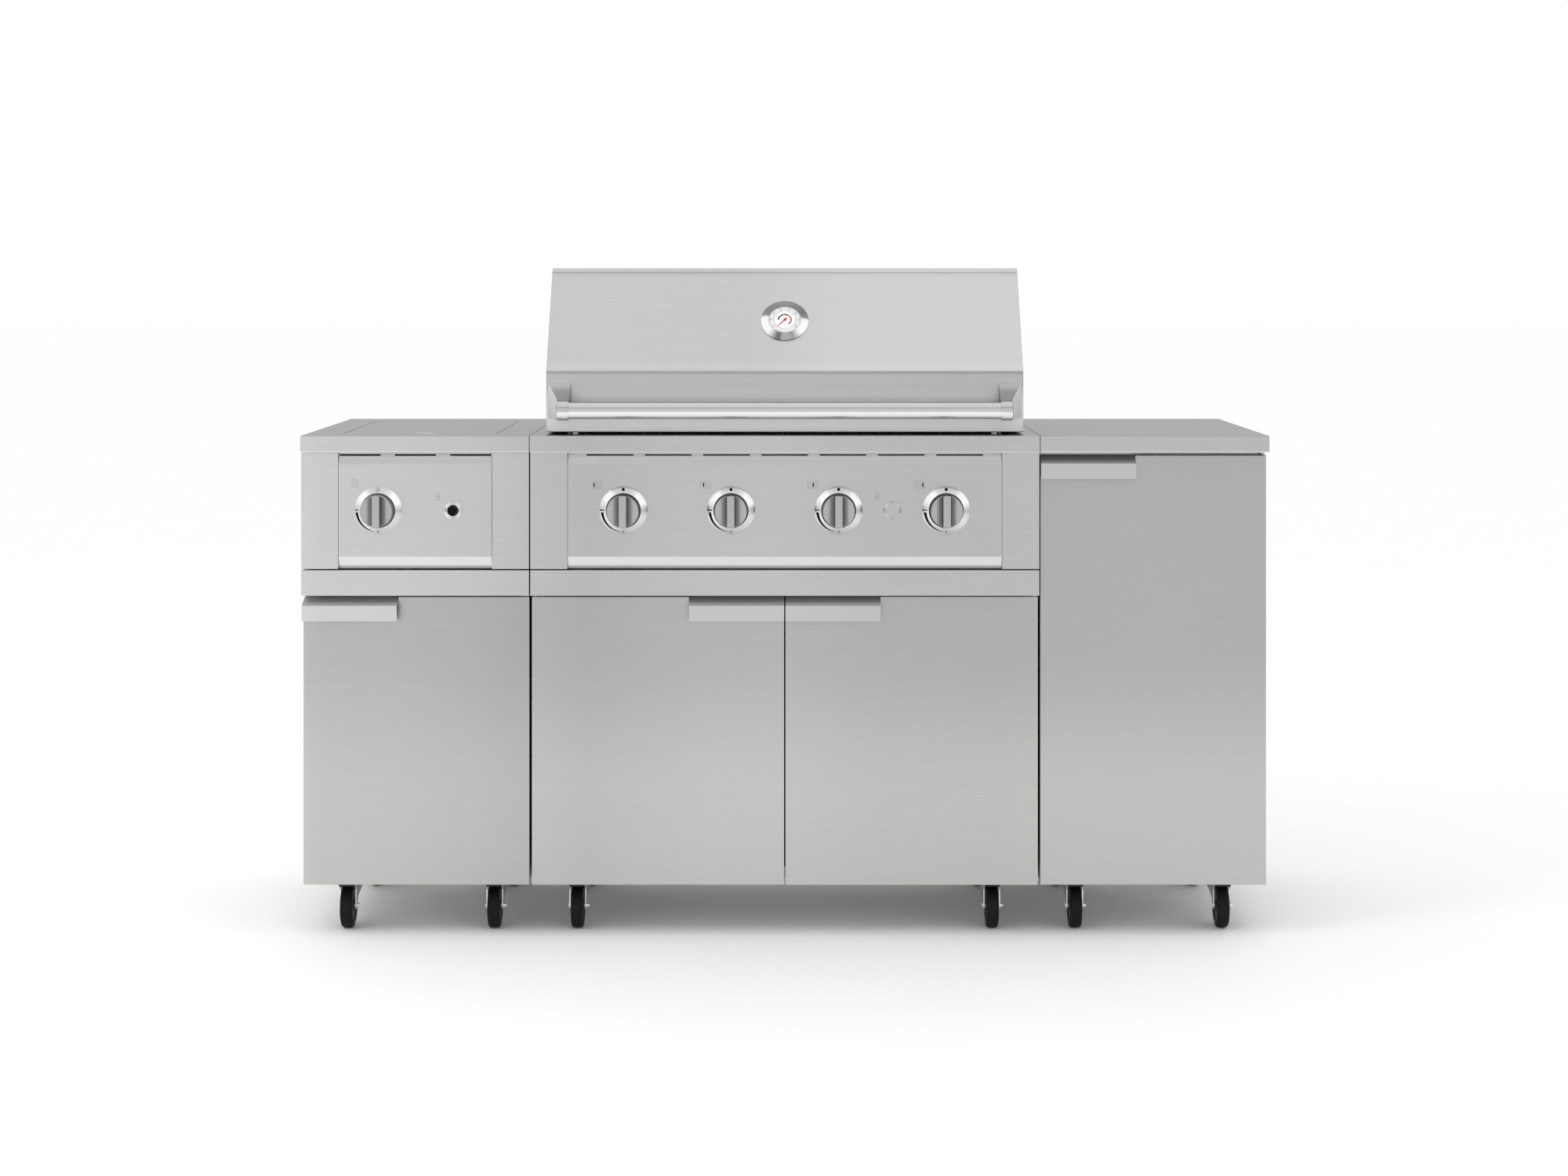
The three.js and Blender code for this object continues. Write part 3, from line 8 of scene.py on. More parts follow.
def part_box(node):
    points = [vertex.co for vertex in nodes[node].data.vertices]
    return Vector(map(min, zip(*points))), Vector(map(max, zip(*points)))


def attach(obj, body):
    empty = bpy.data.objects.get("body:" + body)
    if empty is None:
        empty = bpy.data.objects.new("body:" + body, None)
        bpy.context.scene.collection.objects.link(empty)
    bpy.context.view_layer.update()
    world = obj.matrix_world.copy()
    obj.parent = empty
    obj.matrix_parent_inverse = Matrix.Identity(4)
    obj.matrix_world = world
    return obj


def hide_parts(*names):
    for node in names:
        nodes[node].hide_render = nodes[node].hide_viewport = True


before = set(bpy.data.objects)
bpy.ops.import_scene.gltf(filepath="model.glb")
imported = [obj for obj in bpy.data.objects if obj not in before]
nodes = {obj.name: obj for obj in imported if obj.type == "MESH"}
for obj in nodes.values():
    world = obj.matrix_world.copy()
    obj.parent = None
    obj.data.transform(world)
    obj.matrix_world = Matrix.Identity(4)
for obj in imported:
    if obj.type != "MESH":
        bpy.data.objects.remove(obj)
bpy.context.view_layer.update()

mm = 0.001

# The studio: a white floor that runs out into a white surround, a soft lamp high on the
# left and a broad one overhead. The camera stands level with the top of the hood, square
# to the front, and looks down by its shift alone.
eye_distance, eye_height = 5396.5 * mm, 1204.4 * mm
camera = bpy.data.objects.new("camera", bpy.data.cameras.new("camera"))
camera.data.lens = 65.05
camera.data.sensor_width = 36
camera.data.shift_x = -0.0005
camera.data.shift_y = -0.201
camera.data.clip_end = 200
camera.location = (0, -eye_distance, eye_height)
camera.rotation_euler = (math.radians(90), 0, 0)
bpy.context.scene.collection.objects.link(camera)
bpy.context.scene.camera = camera
bpy.context.scene.view_settings.view_transform = "Standard"


class Shade:
    """A socket in the node tree of a finish, with arithmetic on its value."""

    def __init__(self, tree, socket=None):
        self.tree = tree
        self.socket = socket

    def node(self, kind, settings, inputs, output=0):
        made = self.tree.nodes.new(kind)
        for key, value in settings.items():
            if key == "stops":
                stops = made.color_ramp.elements
                while len(stops) < len(value):
                    stops.new(0.5)
                for stop, (position, level) in zip(stops, value):
                    stop.position = position
                    stop.color = (level, level, level, 1)
            else:
                setattr(made, key, value)
        for key, value in inputs.items():
            if isinstance(value, Shade):
                self.tree.links.new(value.socket, made.inputs[key])
            else:
                made.inputs[key].default_value = value
        return Shade(self.tree, made.outputs[output] if made.outputs else None)

    def output(self, name):
        return Shade(self.tree, self.socket.node.outputs[name])

    def arithmetic(self, operation, first, second):
        return self.node("ShaderNodeMath", {"operation": operation}, {0: first, 1: second})

    def clamped(self):
        return self.node("ShaderNodeClamp", {}, {"Value": self})

    def part(self, axis):
        return self.node("ShaderNodeSeparateXYZ", {}, {"Vector": self}, axis)

    def seen_from(self, point):
        return self.node("ShaderNodeVectorMath", {"operation": "SUBTRACT"}, {0: self, 1: tuple(point)})

    def drawn(self, scale):
        return self.node("ShaderNodeMapping", {}, {"Vector": self, "Scale": scale})

    def noise(self, scale, detail):
        return self.node("ShaderNodeTexNoise", {}, {"Vector": self, "Scale": scale, "Detail": detail}, 0)

    def ramp(self, stops):
        return self.node("ShaderNodeValToRGB", {"stops": stops}, {"Fac": self})

    def of(self, colour):
        return self.node("ShaderNodeVectorMath", {"operation": "SCALE"}, {0: colour[:3], "Scale": self})

    def bump(self, strength, depth):
        return self.node("ShaderNodeBump", {},
                         {"Height": self, "Strength": strength, "Distance": depth * mm})

    def __add__(self, other):
        return self.arithmetic("ADD", self, other)

    def __sub__(self, other):
        return self.arithmetic("SUBTRACT", self, other)

    def __rsub__(self, other):
        return self.arithmetic("SUBTRACT", other, self)

    def __mul__(self, other):
        return self.arithmetic("MULTIPLY", self, other)

    __radd__ = __add__
    __rmul__ = __mul__


world = bpy.data.worlds.new("studio")
world.use_nodes = True
world.node_tree.nodes.clear()
bpy.context.scene.world = world
air = Shade(world.node_tree)
surround = air.node("ShaderNodeBackground", {}, {"Color": (1, 1, 1, 1), "Strength": 1.0})
air.node("ShaderNodeOutputWorld", {}, {"Surface": surround})


def soft_lamp(name, place, aim, width, height, power):
    lamp = bpy.data.objects.new(name, bpy.data.lights.new(name, "AREA"))
    lamp.data.shape = "RECTANGLE"
    lamp.data.size = width
    lamp.data.size_y = height
    lamp.data.energy = power
    lamp.location = place
    lamp.rotation_euler = (Vector(aim) - Vector(place)).to_track_quat("-Z", "Y").to_euler()
    lamp.visible_glossy = False
    bpy.context.scene.collection.objects.link(lamp)


soft_lamp("key", (-3.2, -2.6, 3.6), (0.1, 0, 0.5), 1.8, 1.8, 36)
soft_lamp("overhead", (0, -0.9, 3.8), (0, 0, 0.6), 4.5, 2.2, 8)


def surfaced(name, recipe):
    """A finish; its recipe takes the object's coordinates and gives the shader's inputs."""
    material = bpy.data.materials.new(name)
    material.use_nodes = True
    material.node_tree.nodes.clear()
    start = Shade(material.node_tree)
    place = start.node("ShaderNodeTexCoord", {}, {}, "Object")
    surface = start.node("ShaderNodeBsdfPrincipled", {}, recipe(place))
    start.node("ShaderNodeOutputMaterial", {}, {"Surface": surface})
    return material


def floor_paint(place):
    mottle = place.noise(3.0, 4.0)
    level = 0.98 + 0.02 * mottle
    colour = place.node("ShaderNodeCombineColor", {}, {"Red": level, "Green": level, "Blue": level})
    return {"Base Color": colour, "Roughness": 0.7 + 0.1 * mottle, "Specular IOR Level": 0.1}


bm = bmesh.new()
bmesh.ops.create_grid(bm, x_segments=1, y_segments=1, size=60)
floor_mesh = bpy.data.meshes.new("floor")
bm.to_mesh(floor_mesh)
bm.free()
floor_mesh.materials.append(surfaced("floor_paint", floor_paint))
floor = bpy.data.objects.new("floor", floor_mesh)
bpy.context.scene.collection.objects.link(floor)

# Cabinets: folded boxes of brushed stainless sheet, welded at the corners and open at the
# front. The grain runs across the front; the folded edges are slightly rounded by the press.


def linear(grey):
    """The linear level of a grey between 0 and 255."""
    share = grey / 255
    return share / 12.92 if share <= 0.04045 else ((share + 0.055) / 1.055) ** 2.4


def tint(red, green, blue):
    return (linear(red), linear(green), linear(blue), 1)


def step_over(value, start, end, first, last):
    """Runs smoothly from the first level to the last as the value goes from start to end."""
    return value.node("ShaderNodeMapRange", {"interpolation_type": "SMOOTHSTEP"}, {
        "Value": value, "From Min": start, "From Max": end, "To Min": first, "To Max": last})


def painted_front_light(place):
    """Painted light on an upright front: its colour is made lighter near the floor and at the island's
    left end, and darker beside the seam of the left module, as painted reflections of the room."""
    along = place.part("X")
    level = (along * (1 / painted_light_span) + 0.5).ramp(painted_light_stops)
    # painted glow, stronger towards the floor
    low = step_over(along.output("Z"), painted_glow_top, painted_glow_base, 0, 1)
    return (level - 0.5) * 2 + low * step_over(along, -0.7, -0.3, 0.17, 0.21)


# Where the painted light lies: its levels across the island, and the heights over which the painted glow
# near the floor comes in.
painted_light_span = 1.8
painted_glow_top, painted_glow_base = 540 * mm, 240 * mm
painted_light_stops = [(0.015, 0.6), (0.035, 0.57), (0.11, 0.56), (0.18, 0.535), (0.25, 0.49), (0.3, 0.462),
               (0.36, 0.485), (0.42, 0.505), (0.49, 0.51), (0.6, 0.48), (0.7, 0.475), (0.75, 0.482)]


def brushed(name, colour, grain="X", rough=0.34, contrast=1.0, scratches=1.0, painted_light=None, graze=1.0):
    """Sheet brushed along one axis: long fine lines, scattered short marks and slow clouds; the
    graze is how much it mirrors at a flat angle, and any painted light given is added to its colour."""
    def along(length, breadth):
        return tuple(length if axis == grain else breadth for axis in "XYZ")

    def recipe(place):

        def lines(length, breadth, detail):
            drawn = place.drawn(along(length, breadth))
            return place.node("ShaderNodeTexNoise", {},
                              {"Vector": drawn, "Scale": 1.0, "Detail": detail, "Roughness": 0.6}, 0)

        fine = lines(26, 950, 3.0)
        broad = lines(7, 210, 2.0)
        flecks = lines(70, 800, 1.0)
        cloud = place.noise(2.6, 2.0)
        marks = ((flecks - 0.64) * 9).clamped()
        level = (1 + (fine - 0.5) * (0.16 * contrast) + (broad - 0.5) * (0.09 * contrast)
                 + (cloud - 0.5) * 0.05 - marks * (0.045 * scratches))
        # painted light and shade added to the colour
        if painted_light:
            level = level + painted_light(place)
        return {"Base Color": level.of(colour), "Metallic": 1.0, "Normal": fine.bump(0.05, 0.2),
                "Specular Tint": (graze, graze, graze, 1),
                "Roughness": rough + (fine - 0.5) * 0.16 + (cloud - 0.5) * 0.06}

    return surfaced(name, recipe)


def finished(name, bm, finishes, body, replaced=(), smooth=None):
    """The bmesh as a piece of the island. Where smooth is given, every face is shaded smooth up
    to edges of that angle; elsewhere the faces keep their own shading."""
    for face in bm.faces:
        face.smooth = face.smooth or smooth is not None
    for edge in bm.edges:
        edge.smooth = edge.calc_face_angle(0) < math.radians(smooth or 30)
    mesh = bpy.data.meshes.new(name)
    bm.to_mesh(mesh)
    bm.free()
    for finish in finishes:
        mesh.materials.append(finish)
    piece = bpy.data.objects.new(name, mesh)
    bpy.context.scene.collection.objects.link(piece)
    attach(piece, body)
    if replaced:
        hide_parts(*replaced)
    return piece


def soften(faces, width):
    """Smooth shading for the narrow faces of a rounding, while the flats beside it stay flat."""
    for face in faces:
        longest = max(edge.calc_length() for edge in face.edges)
        face.smooth = face.calc_area() < width * longest


def rounded(bm, chosen, reach, segments, kind="EDGES", clamp=True):
    """Rounds the chosen edges or corners and gives the faces of the rounding."""
    return bmesh.ops.bevel(bm, geom=chosen, offset=reach, segments=segments, profile=0.5,
                           affect=kind, clamp_overlap=clamp, material=-1)["faces"]


def eased(node, body, finishes, radius, segments=2, reach=math.inf, outer=False):
    """A copy of the node with its sharp edges rounded, as a folded or dressed edge is, as far
    back from its front as the reach, or only along its outer box; a second finish goes on
    what faces up."""
    bm = bmesh.new()
    bm.from_mesh(nodes[node].data)
    bmesh.ops.remove_doubles(bm, verts=bm.verts, dist=0.01 * mm)
    bmesh.ops.dissolve_limit(bm, angle_limit=math.radians(0.6), verts=bm.verts, edges=bm.edges)
    low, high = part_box(node)
    sharp = [edge for edge in bm.edges
             if len(edge.link_faces) == 2 and edge.calc_face_angle(0) > math.radians(35)
             and max(vert.co.y for vert in edge.verts) < low.y + reach]
    if outer:
        sharp = [edge for edge in sharp
                 if 2 == sum(all(abs(vert.co[axis] - side[axis]) < 0.05 * mm for vert in edge.verts)
                             for axis in range(3) for side in (low, high))]
    narrow = rounded(bm, sharp, radius, segments)
    for face in bm.faces:
        face.material_index = 1 if len(finishes) > 1 and face.normal.z > 0.7 else 0
        face.smooth = False
    soften(narrow, 1.5 * radius)
    return finished(node + "_sheet", bm, finishes, body, replaced=[node])


# Their fronts carry the painted front light.
cabinet_steel = brushed("cabinet_steel", tint(189, 189, 187), scratches=1.6, painted_light=painted_front_light)
for node in ("left_cabinet", "centre_cabinet", "right_cabinet"):
    eased(node, "island", [cabinet_steel], 0.5 * mm)

# Housings: the stiles and outer panels above the cabinets, folded from brushed sheet, with
# the fire box, its ledges and the hood's ears welded inside the middle one.
# Their fronts carry the painted front light.
housing_steel = brushed("housing_steel", tint(189, 189, 187), contrast=1.2, scratches=1.2,
                        painted_light=painted_front_light)
heat_tint_and_shade = brushed("heat_tint_and_shade", tint(96, 94, 91), rough=0.62, contrast=0.8)
eased("side_burner_housing", "island", [housing_steel], 0.5 * mm)
# The middle one's upward faces inside, the fire box and its ledges, take the dark finish: heat tint and
# painted shade under the hood.
eased("grill_housing", "island", [housing_steel, heat_tint_and_shade], 0.5 * mm)

# Worktops: brushed sheet folded down into deep edges, the left one with a sunk tray for
# the burner and the middle one cut out for the grill. The lower fold is painted white as a painted
# highlight; the inner side of the rear edge is darker, heat tint and painted shade.
# The edges carry the painted front light.
worktop_edge_steel = brushed("worktop_edge_steel", tint(188, 188, 187), rough=0.38, contrast=0.9,
                             painted_light=painted_front_light)
# The tops take a darker tint than the edges of the same sheet: painted shade.
worktop_shaded_top = brushed("worktop_shaded_top", tint(166, 166, 164), rough=0.38, contrast=0.9, graze=0.75)
worktop_fold_highlight = brushed("worktop_fold_highlight", tint(255, 255, 255), rough=0.6, contrast=0.3,
                             scratches=0)
worktop_finishes = [worktop_edge_steel, worktop_shaded_top, heat_tint_and_shade, worktop_fold_highlight]
for node in ("side_burner_worktop", "grill_worktop", "right_worktop"):
    worktop = eased(node, "island", worktop_finishes, 1.2 * mm, 3,
                    outer=node != "grill_worktop")
    for face in worktop.data.polygons:
        # The inner side of the rear edge: heat tint and painted shade; the lower fold: a painted highlight.
        if face.normal.y < -0.5 and face.center.y > 0:
            face.material_index = 2
        elif face.normal.y < -0.1 and face.normal.z < -0.1:
            face.material_index = 3

# Side burner lid: a pan of the same brushed sheet, flush with the worktop, with a half
# round finger notch and two pins at its back. The notch's wall is painted near white, a painted highlight.
notch_highlight = brushed("notch_highlight", tint(250, 250, 249), rough=0.45, contrast=0.4)
lid = eased("side_burner_lid", "side_burner_lid", [worktop_shaded_top], 0.8 * mm)
lid.data.materials.append(notch_highlight)
lid_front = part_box("side_burner_lid")[0].y
for face in lid.data.polygons:
    in_notch = lid_front + 2 * mm < face.center.y < lid_front + 40 * mm
    if in_notch and face.normal.y < -0.3 and face.normal.z > -0.5:
        face.material_index = 1

# Doors: folded pans of brushed sheet filled with board. The right one, from another batch,
# has a finer and cooler grain, and the left one is a shade darker.


def door_sheet(name, colour, contrast, scratches):
    return brushed(name, colour, contrast=contrast, scratches=scratches, painted_light=painted_front_light)


# Each door's colour carries the painted front light.
door_steel = door_sheet("door_steel", tint(177, 177, 175), 0.8, 0.6)
left_door_steel = door_sheet("left_door_steel", tint(169, 169, 167), 0.8, 0.6)
tall_door_steel = door_sheet("tall_door_steel", tint(177, 177, 177), 0.5, 0.3)
door_finishes = {"left_door": left_door_steel, "centre_left_door": door_steel,
                 "centre_right_door": door_steel, "right_door": tall_door_steel}
for node, finish in door_finishes.items():
    eased(node, node, [finish], 0.9 * mm, reach=5 * mm)

# Door pulls: strips of brushed sheet folded once along their length and fixed behind the
# top edge of each door, so that fingers reach in under the front flange.


def wire(points):
    """Points joined by edges, one after another."""
    bm = bmesh.new()
    corners = [bm.verts.new(point) for point in points]
    for first, second in zip(corners, corners[1:]):
        bm.edges.new((first, second))
    return bm


def carried(bm, edges, way):
    """Edges carried along a way, so that they sweep out a sheet."""
    made = bmesh.ops.extrude_edge_only(bm, edges=edges)
    far = [item for item in made["geom"] if isinstance(item, bmesh.types.BMVert)]
    bmesh.ops.translate(bm, vec=way, verts=far)


def folded(line, x0, x1, bends, inside, steps=6):
    """Sheet folded along a line of [y, z] points and carried along X, its faces turned away
    from the inside; bends gives how far each fold's rounding reaches."""
    bm = wire([(x0, y, z) for y, z in line])
    carried(bm, bm.edges[:], (x1 - x0, 0, 0))
    for (y, z), bend in zip(line[1:-1], bends):
        fold = [edge for edge in bm.edges
                if all(math.hypot(v.co.y - y, v.co.z - z) < 0.01 * mm for v in edge.verts)]
        soften(rounded(bm, fold, bend, steps, clamp=False), bend)
    bmesh.ops.recalc_face_normals(bm, faces=bm.faces)
    heart = Vector(((x0 + x1) / 2, *inside))
    outward = sum((face.calc_center_median() - heart).dot(face.normal) * face.calc_area()
                  for face in bm.faces)
    if outward < 0:
        bmesh.ops.reverse_faces(bm, faces=bm.faces[:])
    return bm


def thickened(bm, thickness):
    """The folded sheet given its thickness, inwards."""
    bmesh.ops.solidify(bm, geom=bm.faces[:], thickness=thickness)
    bmesh.ops.remove_doubles(bm, verts=bm.verts, dist=0.001 * mm)
    return bm


# The pull's front carries the painted front light.
pull_steel = brushed("pull_steel", tint(193, 193, 191), contrast=0.7, painted_light=painted_front_light)


def satin_painted_light(name, colour, low=0, high=1, gain=0):
    """A dull copy of the steel, that lights up softly and mirrors nothing, standing in as painted light
    for how a face is lit, and painted paler by the gain from the low height up to the high one."""
    def recipe(place):
        fine = place.noise(900.0, 2.0)
        cloud = place.noise(30.0, 2.0)
        # painted light: paler towards the top
        rise = step_over(place.part("Z"), low, high, 0, gain)
        paint = (0.9 + 0.1 * fine + 0.1 * cloud + rise).of(colour)
        return {"Base Color": paint, "Metallic": 0.25, "Roughness": 0.5 + 0.2 * fine}

    return surfaced(name, recipe)


# The slope that faces up under the rail takes a lit copy of the steel: painted light against the shade
# there.
pull_slope_painted_light = satin_painted_light("pull_slope_painted_light", tint(182, 182, 180))
for door in door_finishes:
    low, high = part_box(door + "_pull")
    fold = high.z - 14 * mm
    strip = folded([(high.y, high.z), (low.y, fold), (low.y, low.z)], low.x, high.x,
                   [0.6 * mm], ((low.y + high.y) / 2, low.z - 20 * mm))
    thickened(strip, 2 * mm)
    for face in strip.faces:
        face.material_index = 1 if 0.5 < face.normal.z < 0.98 else 0
    finished(door + "_pull_strip", strip, [pull_steel, pull_slope_painted_light], door,
             replaced=[door + "_pull"])

# Control panels: one brushed sheet for each module, folded three times, with a row of vent
# slots in its upper facet, which is painted paler towards the top, and a facet along the bottom that
# faces the floor, painted bright as a painted reflection of the floor. A flange runs back at each end.
# The front carries the painted front light.
panel_steel = brushed("panel_steel", tint(188, 188, 186), contrast=0.6, scratches=0.4,
                      painted_light=painted_front_light)
panel_top = 879.6 * mm
# The upper facet: a lit copy of the steel with painted light, paler towards the top against the shade under
# the worktop edge.
panel_top_painted_light = satin_painted_light("panel_top_painted_light", tint(187, 187, 185), panel_top - 18 * mm,
                        panel_top - 2 * mm, 0.42)
# The bottom facet: painted bright, a painted reflection of the floor.
panel_base_highlight = brushed("panel_base_highlight", tint(222, 222, 221), rough=0.24, contrast=0.4)
panels = {
    "side_burner_panel": (3, 75 * mm, 100 * mm),
    "grill_control_panel": (7, 85 * mm, 105.4 * mm),
}
face_plane = -275.5 * mm
sheet_thickness, end_flange = 1.5 * mm, 16 * mm
slot_bottom, slot_top, slot_corner = panel_top - 6.2 * mm, panel_top - 3.2 * mm, 1.1 * mm


def scored(sheet, point, way, chosen):
    """Cuts by a plane the faces across the front whose middle is chosen."""
    faces = [face for face in sheet.faces
             if abs(face.normal.x) < 0.5 and chosen(face.calc_center_median())]
    around = {item for face in faces for item in (*face.edges, *face.verts)}
    bmesh.ops.bisect_plane(sheet, geom=[*faces, *around], plane_co=point, plane_no=way,
                           dist=0.001 * mm)


def control_sheet(node, slots, length, pitch):
    """The panel's sheet; each slot is cut out of its upper facet, corners taken off."""
    low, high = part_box(node)
    middle = (low.x + high.x) / 2
    sheet = folded([
        (face_plane + 28 * mm, low.z), (face_plane + 9 * mm, low.z),
        (face_plane, low.z + 22.4 * mm), (face_plane, high.z - 20 * mm),
        (face_plane + 6.5 * mm, panel_top),
    ], low.x - 0.2 * mm, high.x + 0.2 * mm, [0.8 * mm, 0.8 * mm, 3 * mm], (0, (low.z + high.z) / 2))
    ends_of_sheet = [edge for edge in sheet.edges if edge.is_boundary
                     and abs(edge.verts[0].co.x - edge.verts[1].co.x) < 0.01 * mm]
    carried(sheet, ends_of_sheet, (0, end_flange, 0))
    ends = [middle + (i - (slots - 1) / 2) * pitch + side * length / 2
            for i in range(slots) for side in (-1, 1)]
    level = [slot_bottom, slot_bottom + slot_corner, slot_top - slot_corner, slot_top]
    upright = [x + side * slot_corner for x in ends for side in (-1, 0, 1)]
    cuts = [((0, 0, z), (0, 0, 1)) for z in level] + [((x, 0, 0), (1, 0, 0)) for x in upright]
    for point, way in cuts:
        scored(sheet, point, way, lambda spot: spot.z > high.z - 19 * mm)
    for i, x in enumerate(ends):
        inward = 1 if i % 2 == 0 else -1
        for z, upward in ((slot_bottom, 1), (slot_top, -1)):
            heart = Vector((x + inward * slot_corner / 2, 0, z + upward * slot_corner / 2))
            scored(sheet, heart, (inward, 0, upward),
                   lambda spot: max(abs(spot.x - heart.x), abs(spot.z - heart.z)) < slot_corner / 4)
    cut = []
    for face in sheet.faces:
        spot = face.calc_center_median()
        past = 0.7 * max(slot_bottom + slot_corner - spot.z, spot.z - slot_top + slot_corner, 0)
        inside = any(start + past < spot.x < end - past for start, end in zip(ends[::2], ends[1::2]))
        if inside and slot_bottom < spot.z < slot_top and abs(face.normal.x) < 0.5:
            cut.append(face)
    bmesh.ops.delete(sheet, geom=cut, context="FACES")
    thickened(sheet, sheet_thickness)
    for face in sheet.faces:
        if face.normal.z < -0.3 and face.normal.y < -0.3:
            face.material_index = 2
        elif face.normal.z > 0.2:
            face.material_index = 1
    return sheet


for node, (slots, length, pitch) in panels.items():
    finished(node + "_sheet", control_sheet(node, slots, length, pitch),
             [panel_steel, panel_top_painted_light, panel_base_highlight], "island", replaced=[node])

# Knob bezels: conical rings turned from stainless rod with a raised lip, fixed round each
# knob. Turning leaves fine circles; two fans of painted highlights lie on them, and a black sleeve
# lines the bore as a painted shadow.


def seat(place, out, up):
    """A place on the island: local Z points out of the surface and local Y up along it."""
    out, up = Vector(out).normalized(), Vector(up).normalized()
    right = up.cross(out)
    turn = Matrix((right, up, out)).transposed().to_4x4()
    turn.translation = Vector(place)
    return turn


def swept(bm, angle, steps, closed=False):
    """Edges swept about Z; a full turn is closed."""
    bmesh.ops.spin(bm, geom=[*bm.verts, *bm.edges], cent=(0, 0, 0), axis=(0, 0, 1),
                   dvec=(0, 0, 0), angle=angle, steps=steps, use_merge=closed)


def turned(line, matrix, steps=96):
    """A line of [radius, height] points in millimetres turned once about Z, then seated."""
    bm = wire([(radius * mm, 0, height * mm) for radius, height in line])
    swept(bm, math.tau, steps, closed=True)
    bmesh.ops.remove_doubles(bm, verts=bm.verts, dist=0.001 * mm)
    bmesh.ops.recalc_face_normals(bm, faces=bm.faces)
    bmesh.ops.transform(bm, matrix=matrix, verts=bm.verts)
    return bm


def gathered(parts):
    """Several bmeshes as one; each part is a bmesh and the number of its finish, or None where
    its faces have theirs."""
    whole = bmesh.new()
    for part, finish in parts:
        for face in part.faces:
            face.material_index = face.material_index if finish is None else finish
        passing = bpy.data.meshes.new("passing")
        part.to_mesh(passing)
        part.free()
        whole.from_mesh(passing)
        bpy.data.meshes.remove(passing)
    return whole


def spun(name, colour, local, rough=0.24, painted_fans=0.2, stops=None):
    """Steel turned about the axis of its seat: fine circles, with painted highlights and shade across
    them in wedges round the axis, four even ones or following the stops round from the left."""
    def recipe(place):
        angles = local.inverted().to_euler()
        moved = place.seen_from(local.translation)
        laid = place.node("ShaderNodeMapping", {"vector_type": "POINT"},
                          {"Vector": moved, "Rotation": tuple(angles)})
        parts = laid.part("X")
        flat = place.node("ShaderNodeCombineXYZ", {}, {"X": parts, "Y": parts.output("Y")})
        radius = place.node("ShaderNodeVectorMath", {"operation": "LENGTH"}, {0: flat}, "Value")
        rings = place.node("ShaderNodeTexNoise", {"noise_dimensions": "1D"},
                           {"W": radius * 2600, "Scale": 1.0, "Detail": 2.0}, 0)
        angle = place.node("ShaderNodeMath", {"operation": "ARCTAN2"}, {0: parts.output("Y"), 1: parts})
        # Painted light: lighter and darker wedges by the angle round the axis.
        if stops:
            share = angle * (0.5 / math.pi) + 0.5
            level = share.ramp(stops) + (rings - 0.5) * 0.1
        else:
            wave = place.node("ShaderNodeMath", {"operation": "COSINE"}, {0: angle * 4})
            lean = place.node("ShaderNodeMath", {"operation": "COSINE"}, {0: angle})
            level = 1 + (rings - 0.5) * 0.12 - wave * painted_fans - lean * (0.4 * painted_fans)
        return {"Base Color": level.of(colour), "Metallic": 1.0, "Normal": rings.bump(0.08, 0.1),
                "Roughness": rough + (rings - 0.5) * 0.12}

    return surfaced(name, recipe)


def moulded(name, colour, rough=0.5, grain=1800, gloss=0.5):
    """Moulded plastic or rubber with a fine matt grain."""
    def recipe(place):
        fine = place.noise(grain, 2.0)
        cloud = place.noise(60.0, 2.0)
        paint = (0.85 + 0.3 * cloud).of(colour)
        return {"Base Color": paint, "Roughness": rough + (cloud - 0.5) * 0.2,
                "Normal": fine.bump(0.12, 0.1), "Specular IOR Level": gloss}

    return surfaced(name, recipe)


# A black sleeve in each bezel's bore: painted shadow between the bezel and its knob.
painted_bore_shadow = moulded("painted_bore_shadow", tint(12, 12, 12), 0.7, gloss=0.2)
knob_nodes = ["side_burner_knob", "knob_1", "knob_2", "knob_3", "knob_4"]


def on_panel(node):
    """The seat of a knob or button on the face of its panel."""
    low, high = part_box(node)
    middle = (low + high) / 2
    return seat((middle.x, face_plane, middle.z), (0, -1, 0), (0, 0, 1))


knob_seats = {node: on_panel(node) for node in knob_nodes}
bezel_line = [(31, -0.7), (43.3, -0.7), (43.5, 0.2), (43.2, 0.6), (33.2, 6.3), (32.2, 7.0), (31.4, 7.0),
              (30.6, 6.5), (30.3, 5.6), (31, 5.5), (31, -0.7)]
shadow_sleeve_line = [(30.05, -0.7), (30.8, -0.7), (30.8, 5.3), (30.05, 5.3), (30.05, -0.7)]
# The painted highlights round each bezel, from the left.
bezel_painted_light = [
    (0, 0.72), (0.08, 0.74), (0.17, 0.68), (0.25, 0.58), (0.33, 0.69), (0.42, 0.74), (0.46, 0.68),
    (0.5, 0.5), (0.528, 0.7), (0.555, 0.97), (0.63, 0.98), (0.66, 0.76), (0.7, 0.66), (0.75, 0.61),
    (0.8, 0.66), (0.825, 0.78), (0.85, 0.98), (0.91, 0.98), (0.94, 0.84), (0.975, 0.66), (1, 0.72)]
for node, place in knob_seats.items():
    ring = gathered([(turned(bezel_line, place), 0), (turned(shadow_sleeve_line, place), 1)])
    steel = spun(node + "_bezel_steel", tint(255, 255, 254), place, stops=bezel_painted_light)
    finished(node + "_bezel", ring, [steel, painted_bore_shadow], "island", smooth=40)

